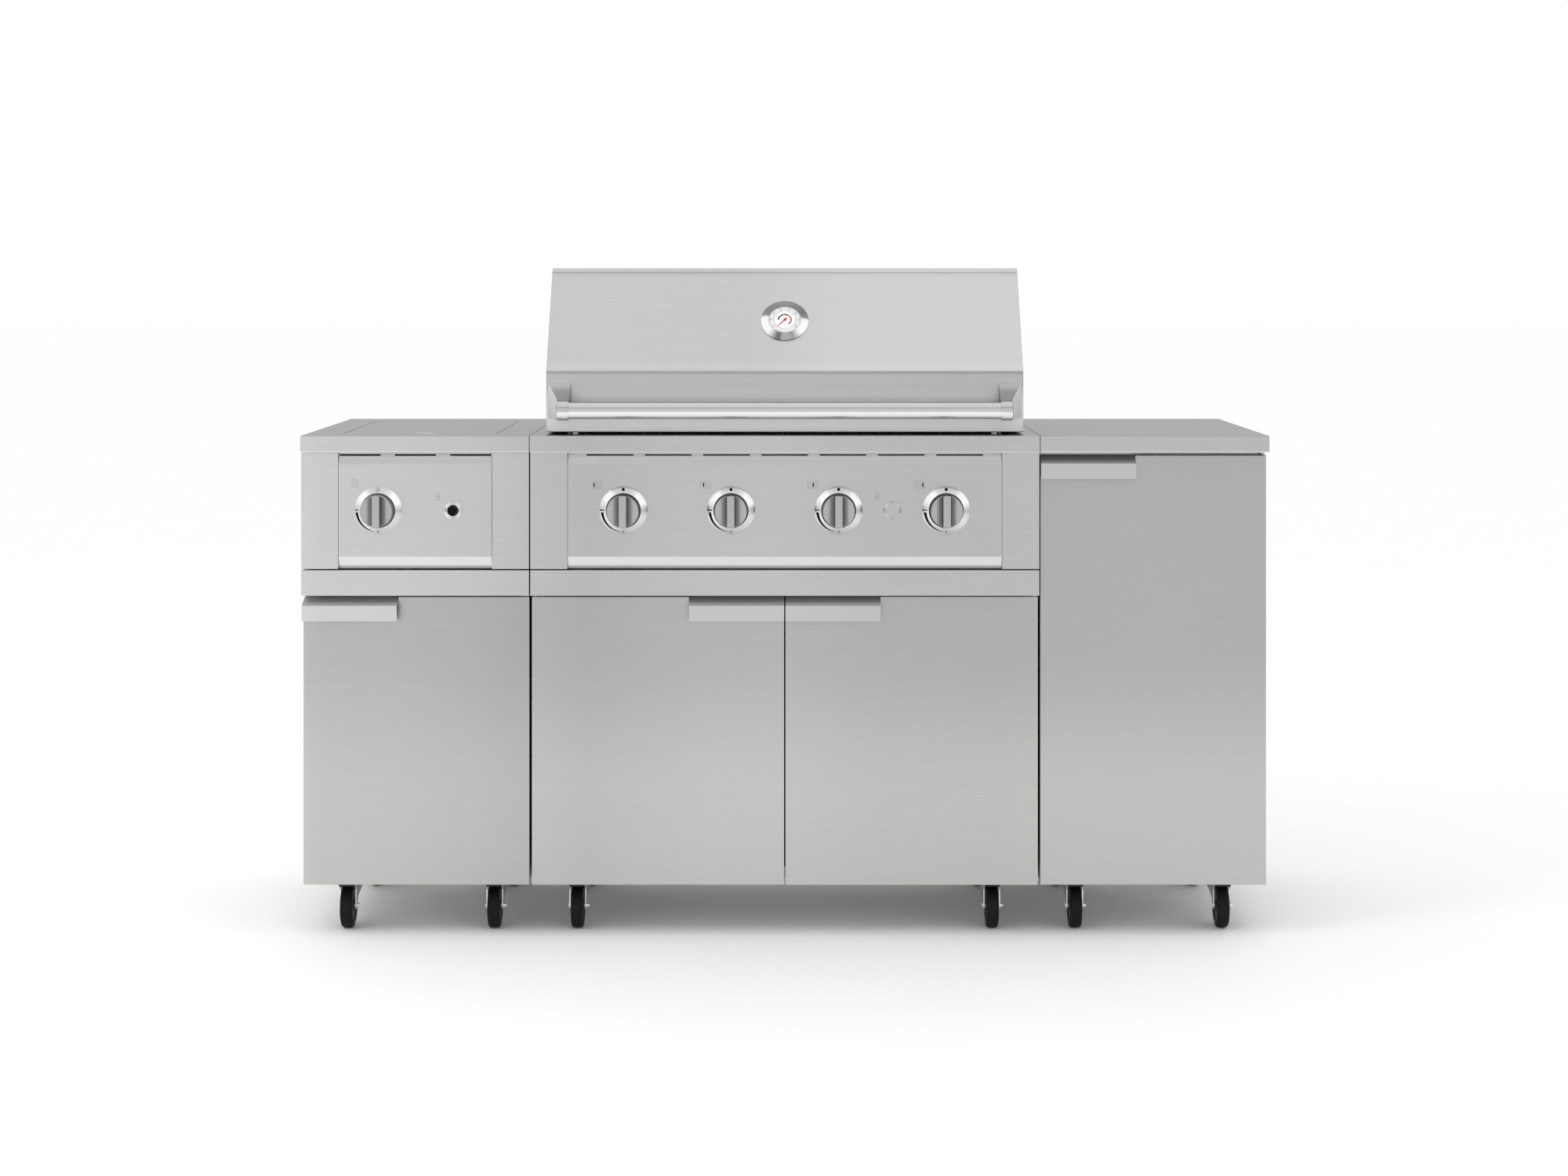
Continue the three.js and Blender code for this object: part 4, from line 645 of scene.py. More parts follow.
# Knobs: turned and milled from stainless rod, the skirt painted black as a painted shadow between
# knob and bezel, and painted grey as painted shade on the side burner's. Two scooped hollows leave a
# flat grip bar across the front; the shaft runs back through the panel to the valve.
knob_radius, knob_back, knob_front = 29 * mm, 4 * mm, 36 * mm
bar_half, scoop_deep, scoop_rim = 6.7 * mm, 14 * mm, 4 * mm


def sliced(bm, point, way, near=0.001 * mm):
    """Cuts every face that a plane crosses, so that its points can be moved."""
    bmesh.ops.bisect_plane(bm, geom=[*bm.verts, *bm.edges, *bm.faces], dist=near,
                           plane_co=point, plane_no=way)


def grip_knob(matrix):
    edge = 1.2 * mm
    line = [
        (0, -25 * mm), (4 * mm, -25 * mm), (4 * mm, knob_back), (knob_radius - edge, knob_back),
        (knob_radius, knob_back + edge), (knob_radius, knob_front - edge),
        (knob_radius - 0.35 * edge, knob_front - 0.35 * edge), (knob_radius - edge, knob_front),
        (0, knob_front),
    ]
    bm = turned([(radius / mm, height / mm) for radius, height in line], Matrix.Identity(4))
    rows = [5.9, 6.3, 6.6, 6.7, 7.1, 8, 9.5, 11, 13, 15, 17.5, 20, 22.5, 25, 27, 28.4]
    for row in rows:
        for side in (-1, 1):
            sliced(bm, (side * row * mm, 0, 0), (1, 0, 0), 0.0001 * mm)
    for vert in bm.verts:
        out = abs(vert.co.x) - bar_half
        if out > 0.01 * mm:
            share = min(1, max(0, out - 0.4 * mm) / (knob_radius - bar_half))
            limit = knob_front - scoop_rim - (scoop_deep - scoop_rim) * (1 - share) ** 2.2
            limit -= max(0, vert.co.xy.length - (knob_radius - edge))
            vert.co.z = min(vert.co.z, limit)
        elif out > -0.9 * mm:
            vert.co.z = min(vert.co.z, knob_front - 0.8 * mm * ((out + 0.9 * mm) / (0.9 * mm)) ** 2)
    bm.normal_update()
    # The skirt faces take the painted shadow, or painted shade on the side burner's.
    for face in bm.faces:
        skirt = face.calc_center_median().xy.length > knob_radius - 0.3 * mm
        face.material_index = 1 if skirt and abs(face.normal.z) < 0.2 else 0
    bmesh.ops.transform(bm, matrix=matrix, verts=bm.verts)
    return bm


knob_steel = brushed("knob_steel", tint(176, 176, 175), grain="Z", rough=0.4, contrast=0.4, scratches=0.1)
painted_skirt_shadow = moulded("painted_skirt_shadow", tint(40, 40, 40), 0.5, gloss=0.3)
painted_skirt_shade = moulded("painted_skirt_shade", tint(120, 120, 120), 0.5, gloss=0.3)
for node, place in knob_seats.items():
    skirt = painted_skirt_shade if node == "side_burner_knob" else painted_skirt_shadow
    finished(node + "_grip", grip_knob(place), [knob_steel, skirt], node,
             replaced=[node], smooth=38)

# Igniters: the grill's has a flat steel button sunk in a rolled ring; the side burner's has
# a long black button in a stepped ring.
grill_igniter, side_igniter = on_panel("grill_igniter_button"), on_panel("side_igniter_button")
grill_ring = [(12.7, -8), (15.7, -0.7), (15.9, 0.3), (15.6, 1.6), (15, 2.5), (14.3, 2.9), (13.6, 2.7),
              (13.0, 1.9), (12.7, 1), (12.7, -8)]
side_ring = [(8.9, -8), (16.4, -0.7), (16.7, 0.3), (16.4, 1.0), (14.2, 1.6), (13.2, 2.4), (11.6, 4.7),
             (10.6, 5), (9.6, 4.7), (8.9, 3.6), (8.9, -8)]
for name, line, place in (("grill_igniter_ring", grill_ring, grill_igniter),
                          ("side_igniter_ring", side_ring, side_igniter)):
    # The rings and the grill's button carry painted highlights in wedges round their axis.
    steel = spun(name + "_steel", tint(214, 214, 213), place, painted_fans=0.16)
    finished(name, turned(line, place, 64), [steel], "island", smooth=40)
button_line = [(0, -19.7), (12.2, -19.7), (12.2, -1.6), (11.9, -1.0), (11.3, -0.8), (0, -0.8)]
button_steel = spun("button_steel", tint(200, 200, 199), grill_igniter, painted_fans=0.1)
finished("grill_igniter_cap", turned(button_line, grill_igniter, 64), [button_steel],
         "grill_igniter_button", replaced=["grill_igniter_button"], smooth=40)

button_black = moulded("button_black", tint(5, 5, 5), 0.5, gloss=0.12)
black_line = [(0, -19.7), (8.4, -19.7), (8.4, 18.6), (8.1, 19.5), (7.4, 20), (0, 20)]
finished("side_igniter_cap", turned(black_line, side_igniter, 48), [button_black],
         "side_igniter_button", replaced=["side_igniter_button"], smooth=40)

# Printed marks: black ink, fired on the steel beside each knob and igniter. They show which
# burner a knob serves, off at the top, full flame at the left and low flame at the bottom.
ink = moulded("ink", tint(8, 8, 8), 0.6, gloss=0.1)
faint_ink = moulded("faint_ink", tint(118, 118, 116), 0.6, gloss=0.2)
ink_height = 0.12 * mm


def bar(x, y, width, height):
    """A thin upright bar of ink centred on local x and y."""
    bm = bmesh.new()
    bmesh.ops.create_grid(bm, x_segments=1, y_segments=1, size=0.5)
    bmesh.ops.scale(bm, vec=(width, height, 1), verts=bm.verts)
    bmesh.ops.translate(bm, vec=(x, y, ink_height), verts=bm.verts)
    return bm


def rim_of(bm, width, even=True):
    """Only the rim of a flat shape, as wide as its line."""
    made = bmesh.ops.inset_region(bm, faces=bm.faces[:], thickness=width, use_boundary=True,
                                  use_even_offset=even)
    rim = set(made["faces"])
    bmesh.ops.delete(bm, geom=[face for face in bm.faces if face not in rim], context="FACES")
    return bm


def outline(x, y, width, height, line, corner):
    """A rounded rectangle drawn with a thin line."""
    bm = bar(x, y, width, height)
    rounded(bm, bm.verts[:], corner, 4, "VERTICES", clamp=False)
    return rim_of(bm, line)


def dot(x, y, radius, height=ink_height):
    bm = bmesh.new()
    bmesh.ops.create_circle(bm, cap_ends=True, segments=20, radius=radius)
    bmesh.ops.translate(bm, vec=(x, y, height), verts=bm.verts)
    return bm


def on_cone(radius):
    """How high the bezel's cone stands at a radius."""
    return ((43.2 - radius / mm) / 10 * 5.7 + 0.6) * mm + ink_height


def flame_arc():
    """The arc from full flame to low: broad at the left, running out to a point below."""
    bm = wire([(-35.5 * mm, -3.2 * mm, 0), (-40.8 * mm, -3.2 * mm, 0)])
    swept(bm, math.radians(78), 24)
    for vert in bm.verts:
        radius = vert.co.xy.length
        share = math.degrees(math.atan2(-vert.co.y, -vert.co.x)) / 84
        aim = 38.6 * mm + (radius - 38.6 * mm) * max(0.06, (1 - share) ** 0.8)
        vert.co.xy *= aim / radius
        vert.co.z = on_cone(aim)
    return bm


def flames(count):
    """Small pointed flames side by side at the full mark."""
    parts = []
    for i in range(count):
        x = -38.4 * mm + (i - (count - 1) / 2) * 2.8 * mm
        tongue = dot(x, 0.6 * mm, 1.3 * mm, on_cone(abs(x) - 1.3 * mm))
        tip = max(tongue.verts, key=lambda vert: vert.co.y)
        tip.co.y += 1.6 * mm
        parts.append((tongue, 0))
    return parts


burner_marks = {"knob_1": 0, "knob_2": 1, "knob_3": 2, "knob_4": 3}
for node, place in knob_seats.items():
    parts = [(flame_arc(), 0), (dot(0, -38.4 * mm, 1.3 * mm, on_cone(37.2 * mm)), 0)]
    if node in burner_marks:
        parts += [(dot(0, 38.4 * mm, 2.8 * mm, on_cone(35.4 * mm)), 0)] + flames(3)
        parts.append((outline(-47.6 * mm, 46.2 * mm, 18.6 * mm, 12.7 * mm, 0.45 * mm, 1.2 * mm), 1))
        for i in range(4):
            x = (-47.6 + (i - 1.5) * 3.6) * mm
            if i == burner_marks[node]:
                parts.append((bar(x, 46.2 * mm, 2.2 * mm, 7.6 * mm), 0))
            else:
                parts.append((outline(x, 46.2 * mm, 1.8 * mm, 7.2 * mm, 0.22 * mm, 0.5 * mm), 1))
    else:
        ring = rim_of(dot(0, 38.4 * mm, 3.2 * mm, on_cone(35.4 * mm)), 0.6 * mm, even=False)
        parts += [(ring, 0)] + flames(2)
        parts.append((outline(-42.5 * mm, 49.2 * mm, 10 * mm, 15 * mm, 0.45 * mm, 1.4 * mm), 1))
        parts.append((outline(-42.5 * mm, 49.2 * mm, 4.6 * mm, 6.4 * mm, 0.35 * mm, 0.8 * mm), 1))
    marks = gathered(parts)
    bmesh.ops.transform(marks, matrix=place, verts=marks.verts)
    finished(node + "_marks", marks, [ink, faint_ink], "island")

for name, place, x in (("grill_igniter_mark", grill_igniter, -27.3 * mm),
                       ("side_igniter_mark", side_igniter, -27 * mm)):
    marks = gathered([
        (outline(x, 25 * mm, 6.7 * mm, 12 * mm, 0.45 * mm, 1.2 * mm), 1),
        (dot(x, 25 * mm, 0.9 * mm), 0), (bar(x, 28 * mm, 0.4 * mm, 2.2 * mm), 1),
    ])
    bmesh.ops.transform(marks, matrix=place, verts=marks.verts)
    finished(name, marks, [ink, faint_ink], "island")

# Hood: one sheet folded at the front and over the top, welded to two side plates whose rear
# corners are rounded about the pivot pins. Two rubber feet keep it off the worktop.
hood_low, hood_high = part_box("hood")
hood_back = hood_high.y
hood_bottom = 914.5 * mm
hood_front = hood_low.y
crest_y = hood_front + 142 * mm
fold_z = hood_bottom + 109.3 * mm


def hood_painted_light(place):
    """Painted light and shade: the slope painted lighter, more on the right; the front painted darker to
    the right and lighter towards the handle; painted dark lines with pale bands at the fold and the crest.
    """
    along = place.part("X")
    rise = along.output("Z")

    def ramp(low, high, first, last):
        return step_over(rise, low * mm, high * mm, first, last)

    fold, crest, top = fold_z / mm, hood_high.z / mm - 7.8, hood_high.z / mm
    on_slope = ramp(fold, fold + 3, 0, 1)
    # painted light on the slope, more on the right
    side = step_over(along, -0.1, 0.12, -0.05, 0.05) * on_slope
    # the front painted darker to the right and lighter towards the handle, against its shade
    below = (step_over(along, 0, 0.42, 0, -0.05) + ramp(fold - 22, fold - 52, 0, 0.3)) * (1 - on_slope)
    painted_fold_lines = (ramp(fold - 14, fold - 4, 0, -0.05) + ramp(fold - 4.5, fold - 1.2, 0, -0.25)
             - ramp(fold - 0.4, fold + 3.6, 0, -0.25) - ramp(fold + 1, fold + 7, 0, -0.11)
             - ramp(fold + 11, fold + 18, 0, 0.06))
    # painted dark lines at the crest and the top edge
    line = (ramp(crest - 12, crest - 1.5, 0, -0.1) + ramp(crest - 2.4, crest - 0.5, 0, -0.3)
            - ramp(crest, crest + 2, 0, -0.4) + ramp(top - 1.4, top - 0.6, 0, -0.2))
    return 0.22 * on_slope + side + below + painted_fold_lines + line


# The hood's colour carries the painted light and shade.
hood_steel = brushed("hood_steel", tint(189, 189, 188), contrast=0.9, scratches=0.5, rough=0.4,
                     painted_light=hood_painted_light)
skin = folded([
    (hood_front + 18 * mm, hood_bottom), (hood_front, hood_bottom), (hood_front, fold_z),
    (crest_y, hood_high.z), (hood_back, hood_high.z), (hood_back, hood_bottom + 65 * mm),
], hood_low.x + 0.8 * mm, hood_high.x - 0.8 * mm, [2 * mm, 7 * mm, 9 * mm, 60 * mm],
    (0, hood_bottom + 60 * mm), steps=12)
bm = gathered([(thickened(skin, 1.5 * mm), 0)])


def deepened(bm, way):
    """A flat outline carried along a way, so that it becomes a solid."""
    made = bmesh.ops.extrude_face_region(bm, geom=bm.faces[:])
    moved = [item for item in made["geom"] if isinstance(item, bmesh.types.BMVert)]
    bmesh.ops.translate(bm, vec=way, verts=moved)


def hood_side(x0, x1):
    """A side plate: the hood's outline as one face, its corners rounded, given its thickness."""
    bm = bmesh.new()
    corners = [(hood_front, hood_bottom, 2), (hood_front, fold_z, 5), (crest_y, hood_high.z, 9),
               (hood_back, hood_high.z, 60), (hood_back, hood_bottom, 45)]
    bm.faces.new([bm.verts.new((x0, y, z)) for y, z, reach in corners])
    for y, z, reach in corners:
        vert = [v for v in bm.verts if math.hypot(v.co.y - y, v.co.z - z) < 0.01 * mm]
        rounded(bm, vert, reach * mm, 12, "VERTICES", clamp=False)
    deepened(bm, (x1 - x0, 0, 0))
    bmesh.ops.recalc_face_normals(bm, faces=bm.faces)
    rim = [edge for edge in bm.edges if edge.calc_face_angle(0) > math.radians(60)]
    rounded(bm, rim, 0.5 * mm, 2)
    return bm


hood_pivot = Vector((0, hood_back - 45 * mm, hood_bottom + 45 * mm))
parts = [(bm, 0)]
for x0, x1 in ((hood_low.x, hood_low.x + 1.5 * mm), (hood_high.x - 1.5 * mm, hood_high.x)):
    parts.append((hood_side(x0, x1), 0))
pin_line = [(0, -14), (4, -14), (4, -0.8), (0, -0.8)]
for side in (-1, 1):
    place = seat((side * hood_high.x, hood_pivot.y, hood_pivot.z), (side, 0, 0), (0, 0, 1))
    parts.append((turned(pin_line, place, steps=24), 0))
finished("hood_shell", gathered(parts), [hood_steel], "hood", replaced=["hood"])

foot_rubber = moulded("foot_rubber", tint(214, 214, 212), 0.55)
foot_line = [(0, 0.4), (4.4, 0.4), (5.3, 1.0), (5.7, 2.0), (5.7, 5.2), (0, 5.2)]
foot_x, foot_inset, worktop_top = 381 * mm, 8 * mm, 910 * mm
for name, side in (("hood_foot_left", -1), ("hood_foot_right", 1)):
    place = seat((side * foot_x, hood_front + foot_inset, worktop_top), (0, 0, 1), (0, 1, 0))
    finished(name, turned(foot_line, place, 32), [foot_rubber], "hood", smooth=40)

# Hood handle: a polished tube pushed into the collars of two cast brackets. Each bracket
# spreads from its collar to a tall foot on the hood, its top and outer side hollowed.
collar_radius = 17 * mm
tube_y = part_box("hood_handle")[0].y + collar_radius
tube_z = hood_bottom + 42.5 * mm
bracket_inner, bracket_outer = 389.5 * mm, 430.5 * mm
foot_face = hood_front - 0.3 * mm


def polished(name, colour, rough=0.14):
    """Polished or cast steel: smooth, with faint clouding and fine wipe marks."""
    def recipe(place):
        cloud = place.noise(22.0, 3.0)
        wipe = place.drawn((12, 1400, 1400)).noise(1.0, 2.0)
        paint = (0.94 + 0.08 * cloud + 0.05 * wipe).of(colour)
        return {"Base Color": paint, "Metallic": 1.0, "Normal": wipe.bump(0.03, 0.1),
                "Roughness": rough + (cloud - 0.5) * 0.08 + (wipe - 0.5) * 0.06}

    return surfaced(name, recipe)


def painted_bands(name, colour, axis_y, axis_z, stops, rough=0.2):
    """A polished bar along X, with a painted reflection of the room as bands of light along its length."""
    def recipe(place):
        moved = place.seen_from((0, axis_y, axis_z))
        rise = moved.part("Z")
        ahead = 0 - rise.output("Y")
        angle = place.node("ShaderNodeMath", {"operation": "ARCTAN2"}, {0: rise, 1: ahead})
        share = angle * (1 / math.pi) + 0.5
        wipe = place.drawn((9, 1500, 1500)).noise(1.0, 2.0)
        paint = (share.ramp(stops) + (wipe - 0.5) * 0.08).of(colour)
        return {"Base Color": paint, "Metallic": 1.0, "Normal": wipe.bump(0.03, 0.1),
                "Roughness": rough + (wipe - 0.5) * 0.1}

    return surfaced(name, recipe)


# Painted reflection on the tube and collars: bands of light and dark round the bar.
painted_bar_reflection = [(0, 0.3), (0.13, 0.44), (0.18, 0.84), (0.41, 0.86), (0.435, 0.9), (0.45, 0.62), (0.58, 0.54),
             (0.6, 0.4), (0.62, 0.4), (0.64, 0.6), (0.8, 0.66), (0.86, 0.56), (0.91, 0.3), (1, 0.22)]
tube_steel = painted_bands("tube_steel", tint(252, 252, 251), tube_y, tube_z, painted_bar_reflection, 0.22)
collar_steel = painted_bands("collar_steel", tint(246, 246, 245), tube_y, tube_z, painted_bar_reflection, 0.16)
# The brackets' finishes are painted light and shade: the top darker low down and paler towards the top, the
# outer side painted light, the inner side painted shade.
bracket_top_painted_shade = satin_painted_light("bracket_top_painted_shade", tint(140, 140, 139), tube_z + 30 * mm, tube_z + 44 * mm, 0.65)
bracket_side_painted_light = satin_painted_light("bracket_side_painted_light", tint(202, 202, 201))
bracket_shade_steel = polished("bracket_shade_steel", tint(118, 118, 117), 0.35)
tube_line = [(0, -390), (14.2, -390), (15, -389), (15, 389), (14.2, 390), (0, 390)]
parts = [(turned(tube_line, seat((0, tube_y, tube_z), (1, 0, 0), (0, 0, 1)), 48), 0)]


def bracket(side):
    """Its outline from the side, given its width, then drawn in along a hollow curve."""
    reach = foot_face - tube_y
    rise, drop = 47 * mm, 16 * mm
    bm = bmesh.new()
    line = [(foot_face, tube_z - drop), (foot_face, tube_z + rise)]
    for step in range(1, 12):
        share = step / 12
        fall = 1 - (1 - share) ** 2.4
        line.append((foot_face - share * reach, tube_z + rise - fall * (rise - collar_radius)))
    for step in range(13):
        angle = math.radians(90 + 15 * step)
        line.append((tube_y + collar_radius * math.cos(angle), tube_z + collar_radius * math.sin(angle)))
    bm.faces.new([bm.verts.new((side * bracket_inner, y, z)) for y, z in line])
    deepened(bm, (side * (bracket_outer - bracket_inner), 0, 0))
    for step in range(1, 24):
        sliced(bm, (0, foot_face - reach * 1.3 * step / 24, 0), (0, 1, 0))
    for vert in bm.verts:
        share = min(1, (foot_face - vert.co.y) / reach)
        taper = 20 * mm * (1 - (1 - share) ** 2.2)
        if abs(vert.co.x) > bracket_outer - taper:
            vert.co.x = side * (bracket_outer - taper)
    bmesh.ops.recalc_face_normals(bm, faces=bm.faces)
    rim = [edge for edge in bm.edges if edge.calc_face_angle(0) > math.radians(50)]
    rounded(bm, rim, 1.2 * mm, 3)
    bm.normal_update()
    # Outer faces take the painted light, inner faces the painted shade, the rest the top's painted shade.
    for face in bm.faces:
        outward = side * face.normal.x
        face.material_index = 3 if outward > 0.2 else 4 if outward < -0.6 else 1
    return bm


collar_line = [(15, -11), (17.2, -10.6), (17.6, -9.6), (17.6, 8.6), (17.2, 9.6), (15, 10), (15, -11)]
collar_x = bracket_inner + 10 * mm
for side in (-1, 1):
    parts.append((bracket(side), None))
    place = seat((side * collar_x, tube_y, tube_z), (side, 0, 0), (0, 0, 1))
    parts.append((turned(collar_line, place, 48), 2))
finished("hood_handle_bar", gathered(parts),
         [tube_steel, bracket_top_painted_shade, collar_steel, bracket_side_painted_light, bracket_shade_steel], "hood",
         replaced=["hood_handle"], smooth=32)

# Thermometer: a spun conical bezel round a white dial under glass, on a stem that passes
# through the hood and is held behind it by a nut. The needle rests below the scale.
slope = math.atan2(crest_y - hood_front, hood_high.z - fold_z)
gauge_out = (0, -math.cos(slope), math.sin(slope))
gauge_up = (0, math.sin(slope), math.cos(slope))
up_slope = 114.4 * mm
gauge_seat = seat((0, hood_front + up_slope * math.sin(slope), fold_z + up_slope * math.cos(slope)),
                  gauge_out, gauge_up)
# The bezel's bright and dark wedges are painted light, laid round it by the stops.
gauge_steel = spun("gauge_steel", tint(252, 252, 251), gauge_seat, rough=0.2, stops=[
    (0, 1), (0.12, 0.95), (0.16, 0.5), (0.19, 0.18), (0.215, 0.2), (0.23, 0.44), (0.28, 0.42), (0.31, 0.34),
    (0.34, 0.62), (0.38, 1), (0.47, 1), (0.5, 0.9), (0.515, 0.3), (0.56, 0.2), (0.75, 0.3), (0.9, 0.24),
    (0.955, 0.3), (0.975, 0.9), (1, 1)])
bezel = turned([
    (30.4, 0.3), (43.6, 0.3), (44, 0.9), (44, 2.2), (43.7, 2.9), (43.0, 3.4), (33.0, 7.6), (32.2, 7.9),
    (31.4, 7.7), (30.8, 7.2), (30.4, 6.4), (30.4, 0.3)], gauge_seat)
stem = turned([
    (0, -50), (3.2, -50), (4, -48), (4, -10), (9, -10), (9, -4), (4, -4), (4, 1), (0, 1)], gauge_seat, 32)
finished("thermometer_bezel", gathered([(bezel, 0), (stem, 0)]), [gauge_steel], "hood",
         replaced=["thermometer"], smooth=40)


def glazed(name, colour):
    """Printed card seen through glass: even colour, slight unevenness, a clear hard gloss."""
    def recipe(place):
        cloud = place.noise(260.0, 2.0)
        paint = (0.97 + 0.06 * cloud).of(colour)
        return {"Base Color": paint, "Roughness": 0.35 + 0.1 * cloud, "Coat Weight": 0.3,
                "Coat Roughness": 0.04, "Specular IOR Level": 0.15}

    return surfaced(name, recipe)


dial_prints = {"dial_card": (224, 224, 224), "dial_black": (16, 16, 16), "dial_grey": (150, 150, 150),
               "dial_red": (196, 34, 46), "dial_white": (246, 246, 246)}
print_height = 4.7 * mm


def swung(bm, degrees, axis="Z"):
    bmesh.ops.rotate(bm, cent=(0, 0, 0), matrix=Matrix.Rotation(math.radians(degrees), 3, axis),
                     verts=bm.verts)


def dial_arc(radius, width, start, end, height, tone, steps=32):
    """A band of print from one angle to another, clockwise from the top."""
    bm = wire([(0, radius + side * width / 2, height) for side in (-1, 1)])
    swung(bm, -start)
    swept(bm, math.radians(start - end), steps, closed=end - start >= 360)
    return bm, tone


def numeral(text, radius, angle, size):
    """A number of the scale as flat print, set upright on its radius."""
    curve = bpy.data.curves.new("numeral", "FONT")
    curve.body = text
    curve.size = size
    curve.align_x = "CENTER"
    curve.align_y = "CENTER"
    writing = bpy.data.objects.new("numeral", curve)
    bpy.context.scene.collection.objects.link(writing)
    flat = writing.to_mesh()
    bm = bmesh.new()
    bm.from_mesh(flat)
    writing.to_mesh_clear()
    bpy.data.objects.remove(writing)
    bpy.data.curves.remove(curve)
    turn = Matrix.Rotation(math.radians(-angle), 4, "Z")
    bmesh.ops.translate(bm, vec=(0, radius, print_height + 0.05 * mm), verts=bm.verts)
    bmesh.ops.transform(bm, matrix=turn, verts=bm.verts)
    return bm


card = turned([(0, 4.5), (30.5, 4.5)], Matrix.Identity(4))
bmesh.ops.recalc_face_normals(card, faces=card.faces)
if card.faces[:][0].normal.z < 0:
    bmesh.ops.reverse_faces(card, faces=card.faces[:])
parts = [(card, 0), dial_arc(19.5 * mm, 0.45 * mm, 0, 360, print_height, 2, 64),
         dial_arc(28.6 * mm, 0.35 * mm, 0, 360, print_height, 2, 64),
         dial_arc(9.75 * mm, 19.4 * mm, 0, 360, print_height - 0.1 * mm, 4, 48),
         dial_arc(11.7 * mm, 2.6 * mm, -92, 30, print_height, 1),
         dial_arc(11.7 * mm, 2.6 * mm, 30, 146, print_height, 3)]
for i in range(29):
    angle = -126 + 9 * i
    length = 2.4 * mm if i % 4 == 0 else 1.3 * mm
    parts.append(dial_arc(21 * mm + length / 2, length, angle - 0.5, angle + 0.5, print_height, 1, 1))
for i, text in enumerate(("50", "100", "150", "200", "250", "300", "350", "400")):
    parts.append((numeral(text, 25.8 * mm, -126 + 36 * i, 3.6 * mm), 2))
needle = bmesh.new()
bmesh.ops.create_cone(needle, cap_ends=True, segments=4, radius1=1.5 * mm, radius2=0.35 * mm,
                      depth=26 * mm)
swung(needle, 90, "X")
bmesh.ops.scale(needle, vec=(1, 1, 0.3), verts=needle.verts)
bmesh.ops.translate(needle, vec=(0, -8 * mm, 5.6 * mm), verts=needle.verts)
swung(needle, -42)
parts.append((needle, 3))
parts.append((turned([(0, 4.6), (2.2, 4.6), (2.2, 6), (1.8, 6.4), (0, 6.5)], Matrix.Identity(4), 24), 3))
dial = gathered(parts)
bmesh.ops.transform(dial, matrix=gauge_seat, verts=dial.verts)
prints = [glazed(name, tint(*colour)) for name, colour in dial_prints.items()]
finished("thermometer_dial", dial, prints, "hood")

# Casters: a zinc plated fork of pressed sheet that swivels under a round race, a black
# rubber wheel on a bolt between its legs, and a black moulded brake tread over the wheel.


def plated(name, colour, rough=0.3):
    """Zinc plate: pale, cloudy and faintly grained where the sheet was rolled."""
    def recipe(place):
        cloud = place.noise(90.0, 3.0)
        fine = place.noise(900.0, 2.0)
        paint = (0.9 + 0.2 * cloud).of(colour)
        return {"Base Color": paint, "Metallic": 0.9, "Normal": fine.bump(0.06, 0.1),
                "Roughness": rough + (cloud - 0.5) * 0.2}

    return surfaced(name, recipe)


zinc = plated("zinc", tint(176, 177, 178))
# Zinc painted near white on the legs' front edges: a painted highlight.
zinc_edge_highlight = plated("zinc_edge_highlight", tint(252, 252, 252), 0.4)
tyre = moulded("tyre", tint(15, 15, 15), 0.6, 1200, 0.2)
hub_black = moulded("hub_black", tint(9, 9, 9), 0.5, 900)
rim_grey = moulded("rim_grey", tint(58, 58, 58), 0.45, 900)
wheel_radius = 40 * mm
leg_inner, leg_outer = 13.2 * mm, 15.4 * mm
leg_length, fork_top = 62 * mm, 86 * mm
pin_offset, tread_half = 33 * mm, 13.4 * mm
shoulder = [(30, 10.6), (31.2, 11.3), (33, 11.4), (35.2, 11.1), (37.4, 10.4), (39, 9.1),
            (39.8, 7.4), (40, 5)]
tyre_line = [(r, -h) for r, h in shoulder] + shoulder[::-1]
hub_line = [(30, -9.4), (12.5, -8.6), (11, -8.8), (9.6, -10.6), (4.5, -10.9), (4.5, 10.9), (9.6, 10.6),
            (11, 8.8), (12.5, 8.6), (30, 9.4), (30, -9.4)]
rim_line = [(28.6, 9), (28.9, 10.8), (29.6, 11.3), (30.4, 11.3), (30.8, 10.8), (30.8, 9), (28.6, 9)]
race_line = [(0, 84), (19, 84), (21.4, 86.2), (22, 88), (22, 94), (21, 96.2), (0, 96.6)]
bolt_line = [(0, -17.8), (3, -17.6), (4.2, -16.8), (4.4, -15.4), (3, -15.4), (3, 15.4), (4.4, 15.4),
             (4.4, 19), (3.9, 19.6), (2.8, 19.8), (2.4, 21.2), (0, 21.4)]


